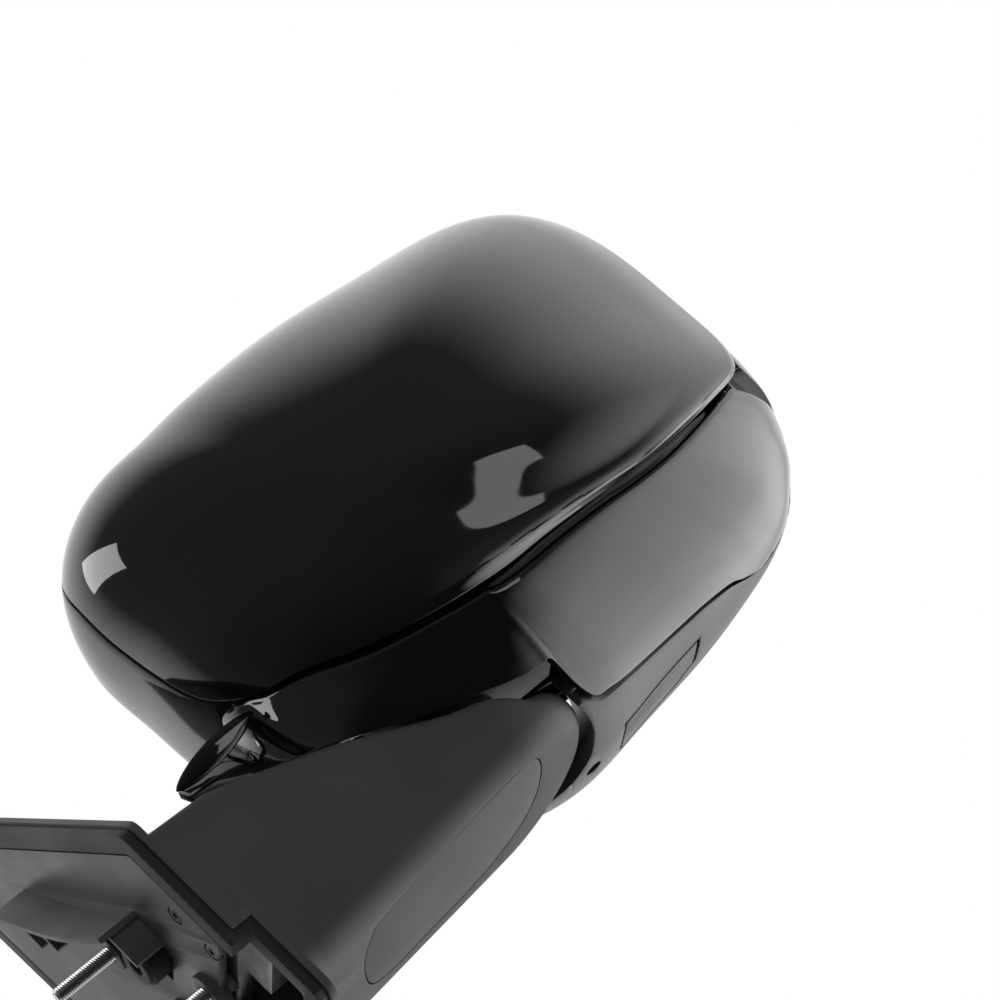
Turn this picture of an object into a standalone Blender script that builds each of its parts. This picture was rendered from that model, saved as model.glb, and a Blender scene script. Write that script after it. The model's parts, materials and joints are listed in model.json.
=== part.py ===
"""Car side mirror, left hand. Metres, +X outboard, +Y rearward, +Z up, origin on the door face."""
import bpy
import bmesh
import numpy as np
from math import atan2, cos, pi, radians, sin, sqrt
from mathutils import Matrix

# ---- driving dimensions, in millimetres ----
POLE = (141.0, -62.0, 85.0)      # foremost point of the head
RIM_Y = 52.0                     # plane of the rear rim
RIM = [                          # rear rim outline, X and Z
    (348, 101), (348, 146), (329.5, 183.3), (257.5, 191.7), (183, 192.1), (122, 178.2), (90, 166.4),
    (69, 143), (68, 105), (71, 65), (78, 34), (95, 10), (122, -8), (160, -20), (211, -15),
    (273, -4), (308, 5), (329, 26), (343, 45), (347, 65),
]
SHARP = [1.61, 1.78, 2.42, 2.78, 3.76, 3.2, 3.2, 2.1]     # squareness of the dome every 45 degrees
SWELL = [0.01, 0.022, -0.022, 0.103, 0.06, 0.05, 0.08, 0.03]  # bulge ahead of the rim every 45 degrees
CAP_EDGE = [(0, 76), (60, 75), (110, 74), (132, 71), (147, 65.2), (159, 65.5), (168, 65.2), (183, 63.2),
            (192, 60.3), (204, 53.5), (215, 45.5), (229, 39.8), (250, 34.5), (276, 31.5), (296, 32.5),
            (320, 35.8), (335, 43.2), (344, 54), (351, 68)]
CREASE = [(272, 50), (281, 53.5), (284, 58.5), (292, 61.3), (308, 66.8), (315, 69.5), (321, 73.8),
          (324, 78.5), (328, 84), (334, 86.5), (346, 87), (352, 87)]
SEAM = [(33, 34.4), (76, 21.2), (113, 5.5), (148, -4.1), (160, -7.0)]   # skirt edge over the arm, X and Z
SKIRT_TOP = [(31, -22, 47), (44, -17, 51), (57, -9, 56), (66, 1, 61), (68, -7, 65.5)]   # beak's upper edge
SKIRT_LOW = [(33, -28, 35.5), (42, -31, 32.5), (51, -33, 29.5), (58, -34, 27.2), (64, -34.5, 25.2)]
LOW_EDGE = [(200, 68), (206, 71.5), (213, 75.5), (221, 80), (229, 86), (237, 94), (245, 104),
            (252, 114), (260, 128)]
HOUSING_EDGE = [(192, 61.1), (198, 69), (205, 77), (215, 87.3), (254, 87.3), (260, 80), (266, 70),
                (272, 61), (278, 58), (281, 57), (284, 60), (292, 62.0), (308, 67.5), (315, 70.2),
                (321, 74.5), (324, 78.95), (328, 84.45), (334, 86.95), (347.4, 87.4), (351, 69.5)]
ARM_LIFT = [(203, 0), (222, 9), (240, 13), (262, 13), (270, 9), (279, 0), (290, 0)]   # bowl over the arm
WALL = 2.5
AXIS = (122.0, 5.0)              # fold axis, X and Y
ARM_END_R = 40.0
ARM_WALL = 3.0
SEAT_Z = 3.0
SEAT_R = 26.0
POST_R = 9.0
POST_BORE = 5.5
POST_TOP = 72.0
GLASS_MID = (206.0, 88.0)        # X and Z of the glass pivot
GLASS_Y = 41.0
BALL_Y = 34.0
JACK = 27.0                      # jack screws from the glass pivot
BASE = [                         # base outline, Y and Z
    (-40, -48), (-40, 41), (66, 121), (128, 152), (158, 128), (150, 52), (66, -6), (34, -14), (28, -48),
]
BELT_Z = -14.0
BELT_STEP = 8.0
STUDS = [(54, 47), (47, 8), (8, -4)]
STUD_R = 3.0
FOOT_SCREWS = [(-20, 14), (-20, -4), (25, -3.4)]
STUD_OUT = 28.0
FOLD_R = 17.0                    # fold unit's cup
FOLD_TOP = 60.0
GEAR_R = 14.0
WORM_R = 4.2
WORM_X = AXIS[0] + GEAR_R + WORM_R + 0.5     # worm's axis, along Y beside the fold gear
WORM_Z = 45.8


# ---- helpers ----
def clear():
    for obj in list(bpy.data.objects):
        bpy.data.objects.remove(obj, do_unlink=True)


def collection(name, hidden=False):
    made = bpy.data.collections.new(name)
    bpy.context.scene.collection.children.link(made)
    made.hide_render = hidden
    return made


clear()
PARTS = collection("car_side_mirror")
CUTTERS = collection("cutters", True)


def material(name, colour, metallic=0.0, rough=0.5):
    made = bpy.data.materials.new(name)
    made.use_nodes = True
    shader = made.node_tree.nodes["Principled BSDF"]
    shader.inputs["Base Color"].default_value = (*colour, 1)
    shader.inputs["Metallic"].default_value = metallic
    shader.inputs["Roughness"].default_value = rough
    return made


MATERIALS = {
    "gloss": material("gloss_black", (0.01, 0.01, 0.012), 0, 0.08),
    "satin": material("satin_black", (0.03, 0.03, 0.03), 0, 0.35),
    "matte": material("textured_black", (0.035, 0.035, 0.035), 0, 0.6),
    "rubber": material("rubber", (0.02, 0.02, 0.02), 0, 0.8),
    "nylon": material("nylon", (0.12, 0.12, 0.12), 0, 0.5),
    "white": material("acetal", (0.7, 0.7, 0.68), 0, 0.4),
    "cast": material("die_cast", (0.55, 0.55, 0.56), 1, 0.45),
    "steel": material("steel", (0.6, 0.6, 0.6), 1, 0.3),
    "glass": material("mirror", (0.9, 0.92, 0.93), 1, 0.02),
}


def link(obj, look=None, home=None):
    (home or PARTS).objects.link(obj)
    if look:
        obj.data.materials.append(MATERIALS[look])
    return obj


def mesh_object(name, points, faces, look=None, home=None, smooth=False):
    """A closed mesh from millimetre points, with doubles merged and normals facing out."""
    mesh = bpy.data.meshes.new(name)
    mesh.from_pydata([(x / 1000, y / 1000, z / 1000) for x, y, z in points], [], faces)
    shape = bmesh.new()
    shape.from_mesh(mesh)
    bmesh.ops.remove_doubles(shape, verts=shape.verts, dist=2e-6)
    bmesh.ops.dissolve_degenerate(shape, dist=1e-6, edges=shape.edges)
    bmesh.ops.recalc_face_normals(shape, faces=shape.faces)
    if shape.calc_volume(signed=True) < 0:
        bmesh.ops.reverse_faces(shape, faces=shape.faces)
    shape.to_mesh(mesh)
    shape.free()
    obj = link(bpy.data.objects.new(name, mesh), look, home)
    if smooth:
        mesh.shade_smooth()
        mesh.set_sharp_from_angle(angle=radians(35))
    return obj


def grid_faces(rows, cols, first=0, wrap=False):
    """Quads over rows x cols points; wrap joins the last row to the first."""
    faces = []
    for i in range(rows if wrap else rows - 1):
        k = (i + 1) % rows
        for j in range(cols - 1):
            faces.append((first + i * cols + j, first + i * cols + j + 1,
                          first + k * cols + j + 1, first + k * cols + j))
    return faces


def shell(name, outer, inner, look, wrap=False):
    """A sheet between two equal grids, closed round its open edges."""
    rows, cols = outer.shape[:2]
    points = [tuple(p) for p in outer.reshape(-1, 3)] + [tuple(p) for p in inner.reshape(-1, 3)]
    faces = grid_faces(rows, cols, 0, wrap) + grid_faces(rows, cols, rows * cols, wrap)
    turn = rows * cols
    for i in range(rows if wrap else rows - 1):
        k = (i + 1) % rows
        for j in (0, cols - 1):
            faces.append((i * cols + j, k * cols + j, turn + k * cols + j, turn + i * cols + j))
    if not wrap:
        for i in (0, rows - 1):
            for j in range(cols - 1):
                faces.append((i * cols + j, i * cols + j + 1, turn + i * cols + j + 1, turn + i * cols + j))
    return mesh_object(name, points, faces, look, smooth=True)


def loop_body(name, loops, look=None, home=None, smooth=True, wrap=False):
    """Closed loops of equal length joined in order; the first and last are filled unless they wrap round."""
    count = len(loops[0])
    points = [tuple(p) for loop in loops for p in loop]
    faces = []
    for i in range(len(loops) if wrap else len(loops) - 1):
        k = (i + 1) % len(loops)
        for j in range(count):
            m = (j + 1) % count
            faces.append((i * count + j, i * count + m, k * count + m, k * count + j))
    if not wrap:
        faces.append(tuple(range(count)))
        faces.append(tuple((len(loops) - 1) * count + j for j in range(count)))
    return mesh_object(name, points, faces, look, home, smooth)


def prism(name, outline, axis, low, high, look=None, home=None):
    """An outline of two coordinates, drawn out along the third axis."""
    def put(a, b, c):
        return {0: (c, a, b), 1: (a, c, b), 2: (a, b, c)}[axis]
    return loop_body(name, [[put(a, b, low) for a, b in outline], [put(a, b, high) for a, b in outline]],
                     look, home, smooth=False)


def round_body(name, axis, centre, profile, look=None, home=None, sides=24, wrap=False):
    """Radius and height pairs turned about an axis through centre (the two other coordinates)."""
    def put(r, h, t):
        a, b = centre[0] + r * cos(t), centre[1] + r * sin(t)
        return {0: (h, a, b), 1: (a, h, b), 2: (a, b, h)}[axis]
    turns = [2 * pi * k / sides for k in range(sides)]
    loops = [[put(r, h, t) for t in turns] for r, h in profile]
    return loop_body(name, loops, look, home, wrap=wrap)


def box(name, low, high, look=None, home=None):
    outline = [(low[0], low[1]), (high[0], low[1]), (high[0], high[1]), (low[0], high[1])]
    return prism(name, outline, 2, low[2], high[2], look, home)


def cutter(obj):
    obj.display_type = "WIRE"
    obj.hide_render = True
    return obj


def combine(obj, other, kind="DIFFERENCE"):
    """Applies one exact Boolean straight away and keeps the operand as a hidden cutter."""
    cutter(other)
    step = obj.modifiers.new(kind.lower(), "BOOLEAN")
    step.operation = kind
    step.solver = "EXACT"
    step.use_self = obj.name == "housing"
    step.object = other
    return obj


def settle(obj):
    """Bakes the Booleans and drops the slivers they leave beside the main body."""
    bpy.context.view_layer.update()
    mesh = bpy.data.meshes.new_from_object(obj.evaluated_get(bpy.context.evaluated_depsgraph_get()))
    obj.modifiers.clear()
    shape = bmesh.new()
    shape.from_mesh(mesh)
    left, groups = set(shape.faces), []
    while left:
        edge_of, group = [left.pop()], []
        while edge_of:
            face = edge_of.pop()
            group.append(face)
            for edge in face.edges:
                for other in edge.link_faces:
                    if other in left:
                        left.discard(other)
                        edge_of.append(other)
        groups.append(group)
    groups.sort(key=len)
    for group in groups[:-1]:
        bmesh.ops.delete(shape, geom=group, context="FACES")
    loose = [v for v in shape.verts if not v.link_faces]
    bmesh.ops.delete(shape, geom=loose, context="VERTS")
    shape.to_mesh(mesh)
    shape.free()
    obj.data = mesh
    mesh.shade_smooth()
    mesh.set_sharp_from_angle(angle=radians(35))
    return obj


def ring(values, t):
    """Smooth closed curve through (degrees, value) pairs."""
    angle = np.radians([v[0] for v in values])
    value = np.array([v[1] for v in values], float)
    angle = np.concatenate([angle - 2 * pi, angle, angle + 2 * pi])
    value = np.tile(value, 3)
    t = np.asarray(t, float) % (2 * pi)
    i = np.clip(np.searchsorted(angle, t, side="right") - 1, 1, len(angle) - 3)
    before = (value[i + 1] - value[i - 1]) / (angle[i + 1] - angle[i - 1])
    after = (value[i + 2] - value[i]) / (angle[i + 2] - angle[i])
    h = angle[i + 1] - angle[i]
    s = (t - angle[i]) / h
    return ((2 * s**3 - 3 * s**2 + 1) * value[i] + (s**3 - 2 * s**2 + s) * h * before
            + (3 * s**2 - 2 * s**3) * value[i + 1] + (s**3 - s**2) * h * after)


def along(values, x):
    """Straight runs through (x, value) pairs."""
    return np.interp(x, [v[0] for v in values], [v[1] for v in values])


# ---- the head's outer surface ----
def rim_pairs():
    pairs = [(np.degrees(atan2(z - POLE[2], x - POLE[0])) % 360, sqrt((x - POLE[0])**2 + (z - POLE[2])**2))
             for x, z in RIM]
    return sorted(pairs)


RIM_PAIRS = rim_pairs()
SHARP_PAIRS = [(45 * k, v) for k, v in enumerate(SHARP)]
SWELL_PAIRS = [(45 * k, v) for k, v in enumerate(SWELL)]


def head(t, a):
    """Point of the head: t round the pole (0 outboard, 90 up), a from 0 at the pole to 90 at the rim."""
    t = np.asarray(t, float)
    a = np.radians(np.asarray(a, float))
    n = ring(SHARP_PAIRS, t)
    k = ring(SWELL_PAIRS, t)
    sa, ca = np.abs(np.sin(a)), np.abs(np.cos(a))
    q = (sa**n + ca**n) ** (-1 / n)
    g, h = sa * q, ca * q
    g = g * (1 + k * 4 * h * (1 - h))
    r = ring(RIM_PAIRS, t)
    x, z = POLE[0] + r * g * np.cos(t), POLE[2] + r * g * np.sin(t)
    return np.stack([x, RIM_Y + (POLE[1] - RIM_Y) * h, z], -1)


def head_in(t, a, depth):
    """The head's surface moved in by depth along its normal."""
    e = 1e-3
    a = np.asarray(a, float)
    here = head(t, a)
    dt = head(t + e, a) - head(t - e, a)
    da = head(t, np.minimum(a + 0.05, 90.0)) - head(t, np.maximum(a - 0.05, 0.02))
    normal = np.cross(dt, da)
    normal /= np.maximum(np.linalg.norm(normal, axis=-1, keepdims=True), 1e-9)
    out = here - np.array([206.0, 60.0, 85.0])
    normal *= np.where((normal * out).sum(-1, keepdims=True) < 0, -1.0, 1.0)
    depth = np.asarray(depth, float)
    return here - normal * (depth[..., None] if depth.ndim else depth)


def square(t):
    return ring(SHARP_PAIRS, t)


def level(t, y):
    """The angle, in degrees, at which the head's surface is at this Y."""
    n = square(t)
    h = (RIM_Y - y) / (RIM_Y - POLE[1])
    g = np.maximum(1 - h**n, 0) ** (1 / n)
    return np.degrees(np.arctan2(g, h))


def build_cap():
    rows, cols = 60, 9
    t = np.linspace(0, 2 * pi, rows, endpoint=False)
    share = np.linspace(0, 1, cols) ** 0.8
    share[0] = 0.012
    tt = np.repeat(t[:, None], cols, 1)
    aa = ring(CAP_EDGE, t)[:, None] * share[None, :]
    points = np.concatenate([head_in(tt, aa, 0.0).reshape(-1, 3), head_in(tt, aa, WALL).reshape(-1, 3)])
    turn = rows * cols
    faces = grid_faces(rows, cols, 0, True) + grid_faces(rows, cols, turn, True)
    last = cols - 1
    for i in range(rows):
        k = (i + 1) % rows
        faces.append((i * cols + last, k * cols + last, turn + k * cols + last, turn + i * cols + last))
    faces.append(tuple(i * cols for i in range(rows)))
    faces.append(tuple(turn + i * cols for i in range(rows)))
    return mesh_object("cap", points, faces, "gloss", smooth=True)


def skirt_grid(depth):
    """Columns of the skirt from the beak tip to the outboard end, moved in by depth."""
    share = np.array([-0.06, 0.035, 0.07, 0.22, 0.4, 0.6, 0.8, 0.92, 1.0])
    tuck = np.array([4.0, 2.6, 1.0, 0.9, 0.8, 0.6, 0.4, 0.2, 0.0])
    columns = []
    out = np.array([-0.39, -0.86, -0.33])
    for (top, low) in zip(SKIRT_TOP, SKIRT_LOW):
        top, low = np.array(top, float), np.array(low, float)
        swell = 1.0 + 0.09 * np.linalg.norm(top - low)
        v = np.clip(share, 0, 1)[:, None]
        columns.append(top * (1 - v) + low * v + out * (swell * np.sin(pi * v) - depth))
    for d in (200, 206, 213, 221, 229, 237, 245, 252, 260, 267, 273, 277, 279.6, 281.2, 284, 288, 292, 300,
              308, 315, 321, 324, 328, 334, 340, 344, 347):
        t = radians(d)
        start = float(ring(CAP_EDGE, t)) + 0.6
        if d < 264:
            end = max(57 - (d - 224) * 0.28, start + 4)
        elif d < 280:
            end = 47.6
        else:
            end = float(along(CREASE, d)) - 0.35
        aa = start + (end - start) * share
        column = head_in(t + 0 * aa, aa, tuck + depth)
        if d < 264:
            x = float(along(LOW_EDGE, d))
            low = np.array([x, -34.5, float(along(SEAM, x))]) - out * depth
            column = column + (np.clip(share, 0, 1)[:, None] ** 1.5) * (low - column[-1])
        columns.append(column)
    return np.array(columns)


def build_skirt():
    skirt = shell("skirt", skirt_grid(0.0), skirt_grid(WALL), "gloss")
    return combine(skirt, round_body("cut_nose", 2, AXIS, [(41.2, -60), (41.2, -8.5)], home=CUTTERS,
                                     sides=48))


def build_leaf():
    """Leaf-shaped trim over the pivot, lying just proud of the beak."""
    a, b = np.array([29.0, -27.0, 45.5]), np.array([71.0, -22.0, 53.5])
    out = np.array([-0.39, -0.86, -0.33])
    wide = np.cross(b - a, out)
    wide /= np.linalg.norm(wide)
    loops = []
    for lift in (1.0, 2.2):
        loop = []
        for k in range(24):
            w = 2 * pi * k / 24
            s = 0.5 - 0.5 * cos(w)
            arch = 2.2 * sin(pi * s)
            across = wide * (4.2 * sin(w) * abs(sin(w)) ** 0.3)
            loop.append(tuple(a + (b - a) * s + across + out * (lift + arch)))
        loops.append(loop)
    return loop_body("pivot_trim", loops, "gloss")


def housing_edge(d):
    """Where the housing's outer surface begins, in degrees from the pole."""
    if d <= 192 or d >= 351:
        return float(ring(CAP_EDGE, radians(d))) + (0.8 if 60 < d < 200 else 1.35)
    return float(along(HOUSING_EDGE, d))


def housing_loop(d):
    """One cross-section of the housing: outer band, rim bead, bowl wall, flange and back."""
    t = radians(d)
    start = housing_edge(d)
    y_start = float(head(t, start)[1])
    pts = [head_in(t, a, 0.0) for a in np.linspace(start, 89.9, 5)]
    mid = np.array([GLASS_MID[0], 0.0, GLASS_MID[1]])

    def inset(y, by):
        a = float(level(t, y))
        p = head_in(t, a, 0.0)
        way = mid - p
        way[1] = 0
        way /= np.linalg.norm(way)
        lean = float((head_in(t, a, 1.0) - p) @ way)
        p = p + way * by / max(lean, 0.5)
        p[1] = y
        return p
    flange = 4.0 if 205 < d < 300 else 15.0
    lift = float(along(ARM_LIFT, d))
    back = min(12.0, y_start - (1.0 if 266 < d < 330 else 3.5))
    pts += [inset(51.8, 2.2) + (0, 0.9, 0), inset(51.5, 4.6), inset(45.0, 6.6 + 0.5 * lift)]
    pts += [inset(30.0, 7.2 + lift), inset(back + 2.5, 7.6 + lift)]
    pts += [inset(back + 2.5, 7.6 + lift + flange), inset(back, 7.6 + lift + flange)]
    ys = np.linspace(back, y_start, 4)
    lifts = lift * np.clip((50 - ys) / 20, 0, 1)
    deep = [inset(y, 4.8 + more) for y, more in zip(ys, lifts)]
    return [tuple(p) for p in pts + deep]


HATCH = [(290.5, 73.0), (296, 73.8), (302, 74.6), (308, 75.6), (313, 76.6), (312.5, 84), (308, 86.0),
         (302, 86.2), (296, 86.2), (292.5, 86.0), (291, 80)]


def surface_patch(name, outline, shallow, deep, look=None, home=None):
    loops = [[tuple(head_in(radians(d), a, depth)) for d, a in outline] for depth in (shallow, deep)]
    return loop_body(name, loops, look, home)


def shrink(outline, by):
    mid = np.mean(outline, axis=0)
    span = np.ptp(outline, axis=0) / 2
    return [tuple(mid + (np.array(p) - mid) * (1 - by / span)) for p in outline]


FOLD_NOTCH = [(80, 34), (147, 34), (146, 42), (140, 56), (80, 56)]   # clears the arm when the head folds
NOTCH_TOP = -8.0


def build_housing():
    stops = list(range(1, 198, 7))
    stops += [198, 201, 205, 210, 215, 225, 235, 245, 250, 254, 257, 260, 263, 266, 269, 272, 275, 278, 281]
    stops += [284, 288, 292, 300, 308, 315, 321, 324, 328, 334, 340, 347.4, 348.6, 349.8, 351, 355]
    housing = loop_body("housing", [housing_loop(d) for d in stops], "satin", wrap=True)
    combine(housing, round_body("cut_fold", 2, AXIS, [(41.4, -60), (41.4, -4.2), (28.5, 1.5), (28.5, 80)],
                                home=CUTTERS, sides=48))
    combine(housing, prism("cut_notch", FOLD_NOTCH, 2, -60, NOTCH_TOP, home=CUTTERS))
    combine(housing, surface_patch("cut_hatch", HATCH, -4.0, 3.0, home=CUTTERS))
    combine(housing, round_body("cut_screw", 2, (166, 30), [(3.2, -40), (3.2, -10)], home=CUTTERS,
                                sides=12))
    surface_patch("underside_hatch", shrink(HATCH, 0.75), 0.0, 1.4, "satin")
    round_body("housing_screw", 2, (166, 30), [(2.6, -21.5), (2.6, -19), (1.3, -18.6), (1.3, -8)], "steel",
               sides=12)
    return settle(housing)


# ---- arm ----
def arm_low(x):
    return -26.5 - (122 - x) * 0.11


def arm_high(x, y):
    """Top of the arm: it falls to the rear, and dips under the skirt so that the skirt can pass over it."""
    dip = 3.5 * np.clip((y + 34.5) / 5, 0, 1) * np.clip((x - 64) / 14, 0, 1)
    return max(float(along(SEAM, x)) + 1.5 - 0.5 * (y + 35) - float(dip), arm_low(x) + 17.5)


def arm_outline(inset=0.0):
    """Plan outline from the base round the outboard end and back, each point with its middle point."""
    r = ARM_END_R - inset
    front = [(x, -40 + (x - 5) * 0.045 + inset) for x in (5, 22, 40, 58, 76, 94, 108)]
    nose = [(AXIS[0] + r * cos(w), AXIS[1] + r * sin(w)) for w in np.radians(np.linspace(-90, 90, 13))]
    rear = [(x, 38 + (x - 5) * 0.06 - inset) for x in (108, 94, 76, 58, 40, 22, 5)]
    sides = [(p, (p[0], 0.0)) for p in front], [(p, (p[0], 0.0)) for p in rear]
    return sides[0] + [(p, (AXIS[0], 3.0)) for p in nose] + sides[1]


def arm_loops(inset=0.0, root=5.0, low_round=9.0, high_round=7.0):
    """Stacked closed outlines from the underside to the top."""
    steps = []
    for w in (0, 30, 60, 90):
        steps.append((low_round * (1 - sin(radians(w))), low_round * (1 - cos(radians(w))), 0))
    for w in (90, 60, 30, 0):
        steps.append((high_round * (1 - sin(radians(w))), high_round * (1 - cos(radians(w))), 1))
    loops = []
    for pull, rise, top in [(30, 0, 0)] + steps + [(22, 0, 1)]:
        loop = []
        for (x, y), (mx, my) in arm_outline(inset):
            far = max(sqrt((x - mx)**2 + (y - my)**2), 1)
            share = min(pull / far, 1)
            px, py = x + (mx - x) * share, y + (my - y) * share
            px = root if abs(x - 5) < 0.1 else px
            z = arm_high(px, py) - inset - rise if top else arm_low(px) + inset + rise
            loop.append((px, py, z))
        loops.append(loop)
    return loops


def base_outline(inset):
    """Base outline moved in by inset, with rounded corners."""
    pts = [np.array(p, float) for p in BASE]
    mid = np.mean(pts, axis=0)
    out = []
    count = len(pts)
    for i, p in enumerate(pts):
        a, b = pts[i - 1] - p, pts[(i + 1) % count] - p
        a, b = a / np.linalg.norm(a), b / np.linalg.norm(b)
        half = np.arccos(np.clip(a @ b, -1, 1)) / 2
        way = (a + b) / np.linalg.norm(a + b)
        turn = a[0] * b[1] - a[1] * b[0]
        way = way if turn > 0 else -way
        corner = p + way * inset / np.sin(half)
        r = max(7 - inset * 0.5, 2)
        cut = min(r / np.tan(half), 12)
        for s in (0, 0.33, 0.67, 1):
            q = (1 - s)**2 * (corner + a * cut) + 2 * s * (1 - s) * corner + s**2 * (corner + b * cut)
            out.append(tuple(q))
    return out


def clip(outline, z, keep_above):
    """The part of a Y-Z outline above or below a level."""
    out = []
    sign = 1 if keep_above else -1
    for i, p in enumerate(outline):
        q = outline[(i + 1) % len(outline)]
        pin, qin = (p[1] - z) * sign >= 0, (q[1] - z) * sign >= 0
        if pin:
            out.append(p)
        if pin != qin:
            s = (z - p[1]) / (q[1] - p[1])
            out.append((p[0] + (q[0] - p[0]) * s, z))
    return out


def stepped(name, inset, x0, x1, look=None, home=None):
    """A plate in the base outline whose lower part sits one belt step further outboard."""
    outline = base_outline(inset)
    thick = x1 - x0
    floor = BELT_Z + x0
    upper = prism(name, clip(outline, floor, True), 0, x0, x1, look, home)
    lower = prism(name + "_lower", clip(outline, floor + thick, False), 0, x0 + BELT_STEP, x1 + BELT_STEP,
                  home=CUTTERS)
    ys = [p[0] for p in clip(outline, floor, False) if p[1] > floor - 8]
    low = (x0 + 0.02, min(ys) + 0.02, floor - 0.01)
    high = (x1 + BELT_STEP - 0.02, max(ys) - 0.3, floor + thick - 0.02)
    web = box(name + "_web", low, high, home=CUTTERS)
    combine(upper, lower, "UNION")
    combine(upper, web, "UNION")
    return upper


# ---- base and arm pieces ----
def build_arm_shell():
    arm = loop_body("arm_shell", arm_loops(), "matte")
    combine(arm, stepped("arm_flange", 0.0, 4.3, 7.0, home=CUTTERS), "UNION")
    combine(arm, loop_body("cut_arm_hollow", arm_loops(ARM_WALL, 2.0, 6.0, 4.0), home=CUTTERS,
                           smooth=False))
    combine(arm, box("cut_arm_step", (2.0, -60, -60), (BELT_STEP + 4.25, 60, BELT_Z + 4.2), home=CUTTERS))
    for k, (y, z) in enumerate(STUDS[:2]):
        combine(arm, round_body(f"cut_arm_stud_{k}", 0, (y, z), [(5.5, 3), (5.5, 8)], home=CUTTERS,
                                sides=16))
    combine(arm, round_body("cut_seat", 2, AXIS, [(SEAT_R + 1.0, -18), (SEAT_R + 1.0, 30)], home=CUTTERS))
    combine(arm, cover_patch("cut_cover", 0.0, -6.0, 4.5, home=CUTTERS))
    return arm


COVER = [(44, -24), (58, -27), (76, -27.5), (94, -28), (108, -28), (121, -27), (130, -22), (134, -8),
         (133, 8), (126, 20), (112, 27), (94, 29), (76, 28), (58, 27), (46, 22), (41, 8), (40, -10)]


def cover_patch(name, shrink_by, low, high, look=None, home=None):
    """A plate that follows the underside of the arm, between two heights above it."""
    outline = shrink(COVER, shrink_by)
    loops = [[(x, y, arm_low(x) + h) for x, y in outline] for h in (low, high)]
    return loop_body(name, loops, look, home, smooth=False)


def build_base():
    gasket = stepped("base_gasket", 1.0, 0.0, 4.0, "rubber")
    combine(gasket, stepped("cut_gasket", 8.5, -2.0, 6.0, home=CUTTERS))
    outline = base_outline(9.2)
    plate = prism("base_plate", clip(outline, BELT_Z + 6.5, True), 0, 0.0, 3.6, "matte")
    combine(plate, prism("cut_plate_hole", [(14, 16), (32, 16), (32, 34), (14, 34)], 0, -5, 8,
                         home=CUTTERS))
    shelf = [(8 + 76 * s, 36 + 64 * s - 5 * sin(pi * s)) for s in np.linspace(0, 1, 9)]
    shelf += [(y, z - 2.4) for y, z in reversed(shelf)]
    combine(plate, prism("base_shelf", shelf, 0, -16, 1, home=CUTTERS), "UNION")
    for k, y in enumerate((11, 68, 80)):
        foot = 32 + 0.8 * (y - 8)
        combine(plate, box(f"base_rib_{k}", (-12, y - 0.9, foot - 14), (1, y + 0.9, foot + 2), home=CUTTERS),
                "UNION")
    for k, (y, z) in enumerate(STUDS):
        combine(plate, round_body(f"base_boss_{k}", 0, (y, z), [(7.5, -3), (7.5, 3)], home=CUTTERS,
                                  sides=20), "UNION")
        hole = [(STUD_R + 0.3, -6), (STUD_R + 0.3, 8)]
        combine(plate, round_body(f"cut_boss_{k}", 0, (y, z), hole, home=CUTTERS, sides=20))
        rod = [(STUD_R - 0.8, -STUD_OUT), (STUD_R, -STUD_OUT + 1), (STUD_R, 3.8), (5.0, 4.0), (5.0, 6.9)]
        round_body(f"mounting_stud_{k + 1}", 0, (y, z), rod, "steel", sides=16)
    for k, (y, z) in enumerate(FOOT_SCREWS):
        hole = [(3.7, -2), (3.7, 2.4), (2.4, 2.45), (2.4, 6)]
        combine(plate, round_body(f"cut_foot_screw_{k}", 0, (y, z), hole, home=CUTTERS, sides=12))
        screw = [(3.4, 0.1), (3.4, 2.1), (2.1, 2.2), (2.1, 11.0)]
        round_body(f"foot_screw_{k + 1}", 0, (y, z), screw, "steel", sides=12)
    boot = [(7.5, -9), (9.0, -7), (8.6, -0.4), (8.4, 3), (6, 3.4)]
    grommet = round_body("harness_grommet", 0, (23, 25), boot, "rubber", sides=24)
    combine(grommet, round_body("cut_grommet", 0, (23, 25), [(3.6, -12), (3.6, 8)], home=CUTTERS, sides=16))
    return plate


SAIL = [(-33, 41.5), (60, 111.8), (66, 116), (126, 146.5), (130, 146), (153, 127.5), (154.5, 123),
        (147.2, 56), (145, 53), (66, -1.5), (43, -5.5), (42.5, 1.5), (-30, 37)]


def build_sail():
    """Thin cover on the outboard side of the base, above and behind the arm's root."""
    return prism("sail_panel", SAIL, 0, 7.3, 9.3, "satin")


def build_foot():
    flange = [(-28, -8.8), (31, -8.8), (31, -2.6), (0, 12), (-28, 24)]
    foot = prism("pivot_foot", flange, 0, 7.4, 14, "cast")
    beam = [(-24, -19.5), (6, -19.5), (6, -15), (-24, -9)]
    combine(foot, prism("foot_beam", beam, 0, 12.8, 122, home=CUTTERS), "UNION")
    combine(foot, box("foot_gusset", (12.8, -24.5, -17), (24, 6.5, -4), home=CUTTERS), "UNION")
    combine(foot, round_body("foot_seat", 2, AXIS, [(SEAT_R, -19.5), (SEAT_R, SEAT_Z)], home=CUTTERS,
                             sides=32), "UNION")
    combine(foot, round_body("foot_post", 2, AXIS, [(POST_R, 0), (POST_R, POST_TOP)], home=CUTTERS,
                             sides=24), "UNION")
    combine(foot, round_body("cut_post", 2, AXIS, [(POST_BORE, -40), (POST_BORE, 100)], home=CUTTERS,
                             sides=16))
    for k, (y, z) in enumerate(FOOT_SCREWS):
        combine(foot, round_body(f"cut_foot_{k}", 0, (y, z), [(2.4, -2), (2.4, 20)], home=CUTTERS,
                                 sides=12))
    for k, (y, z) in enumerate(STUDS):
        combine(foot, round_body(f"cut_foot_stud_{k}", 0, (y, z), [(5.6, 3), (5.6, 7.9)], home=CUTTERS,
                                 sides=12))
    return foot


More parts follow.
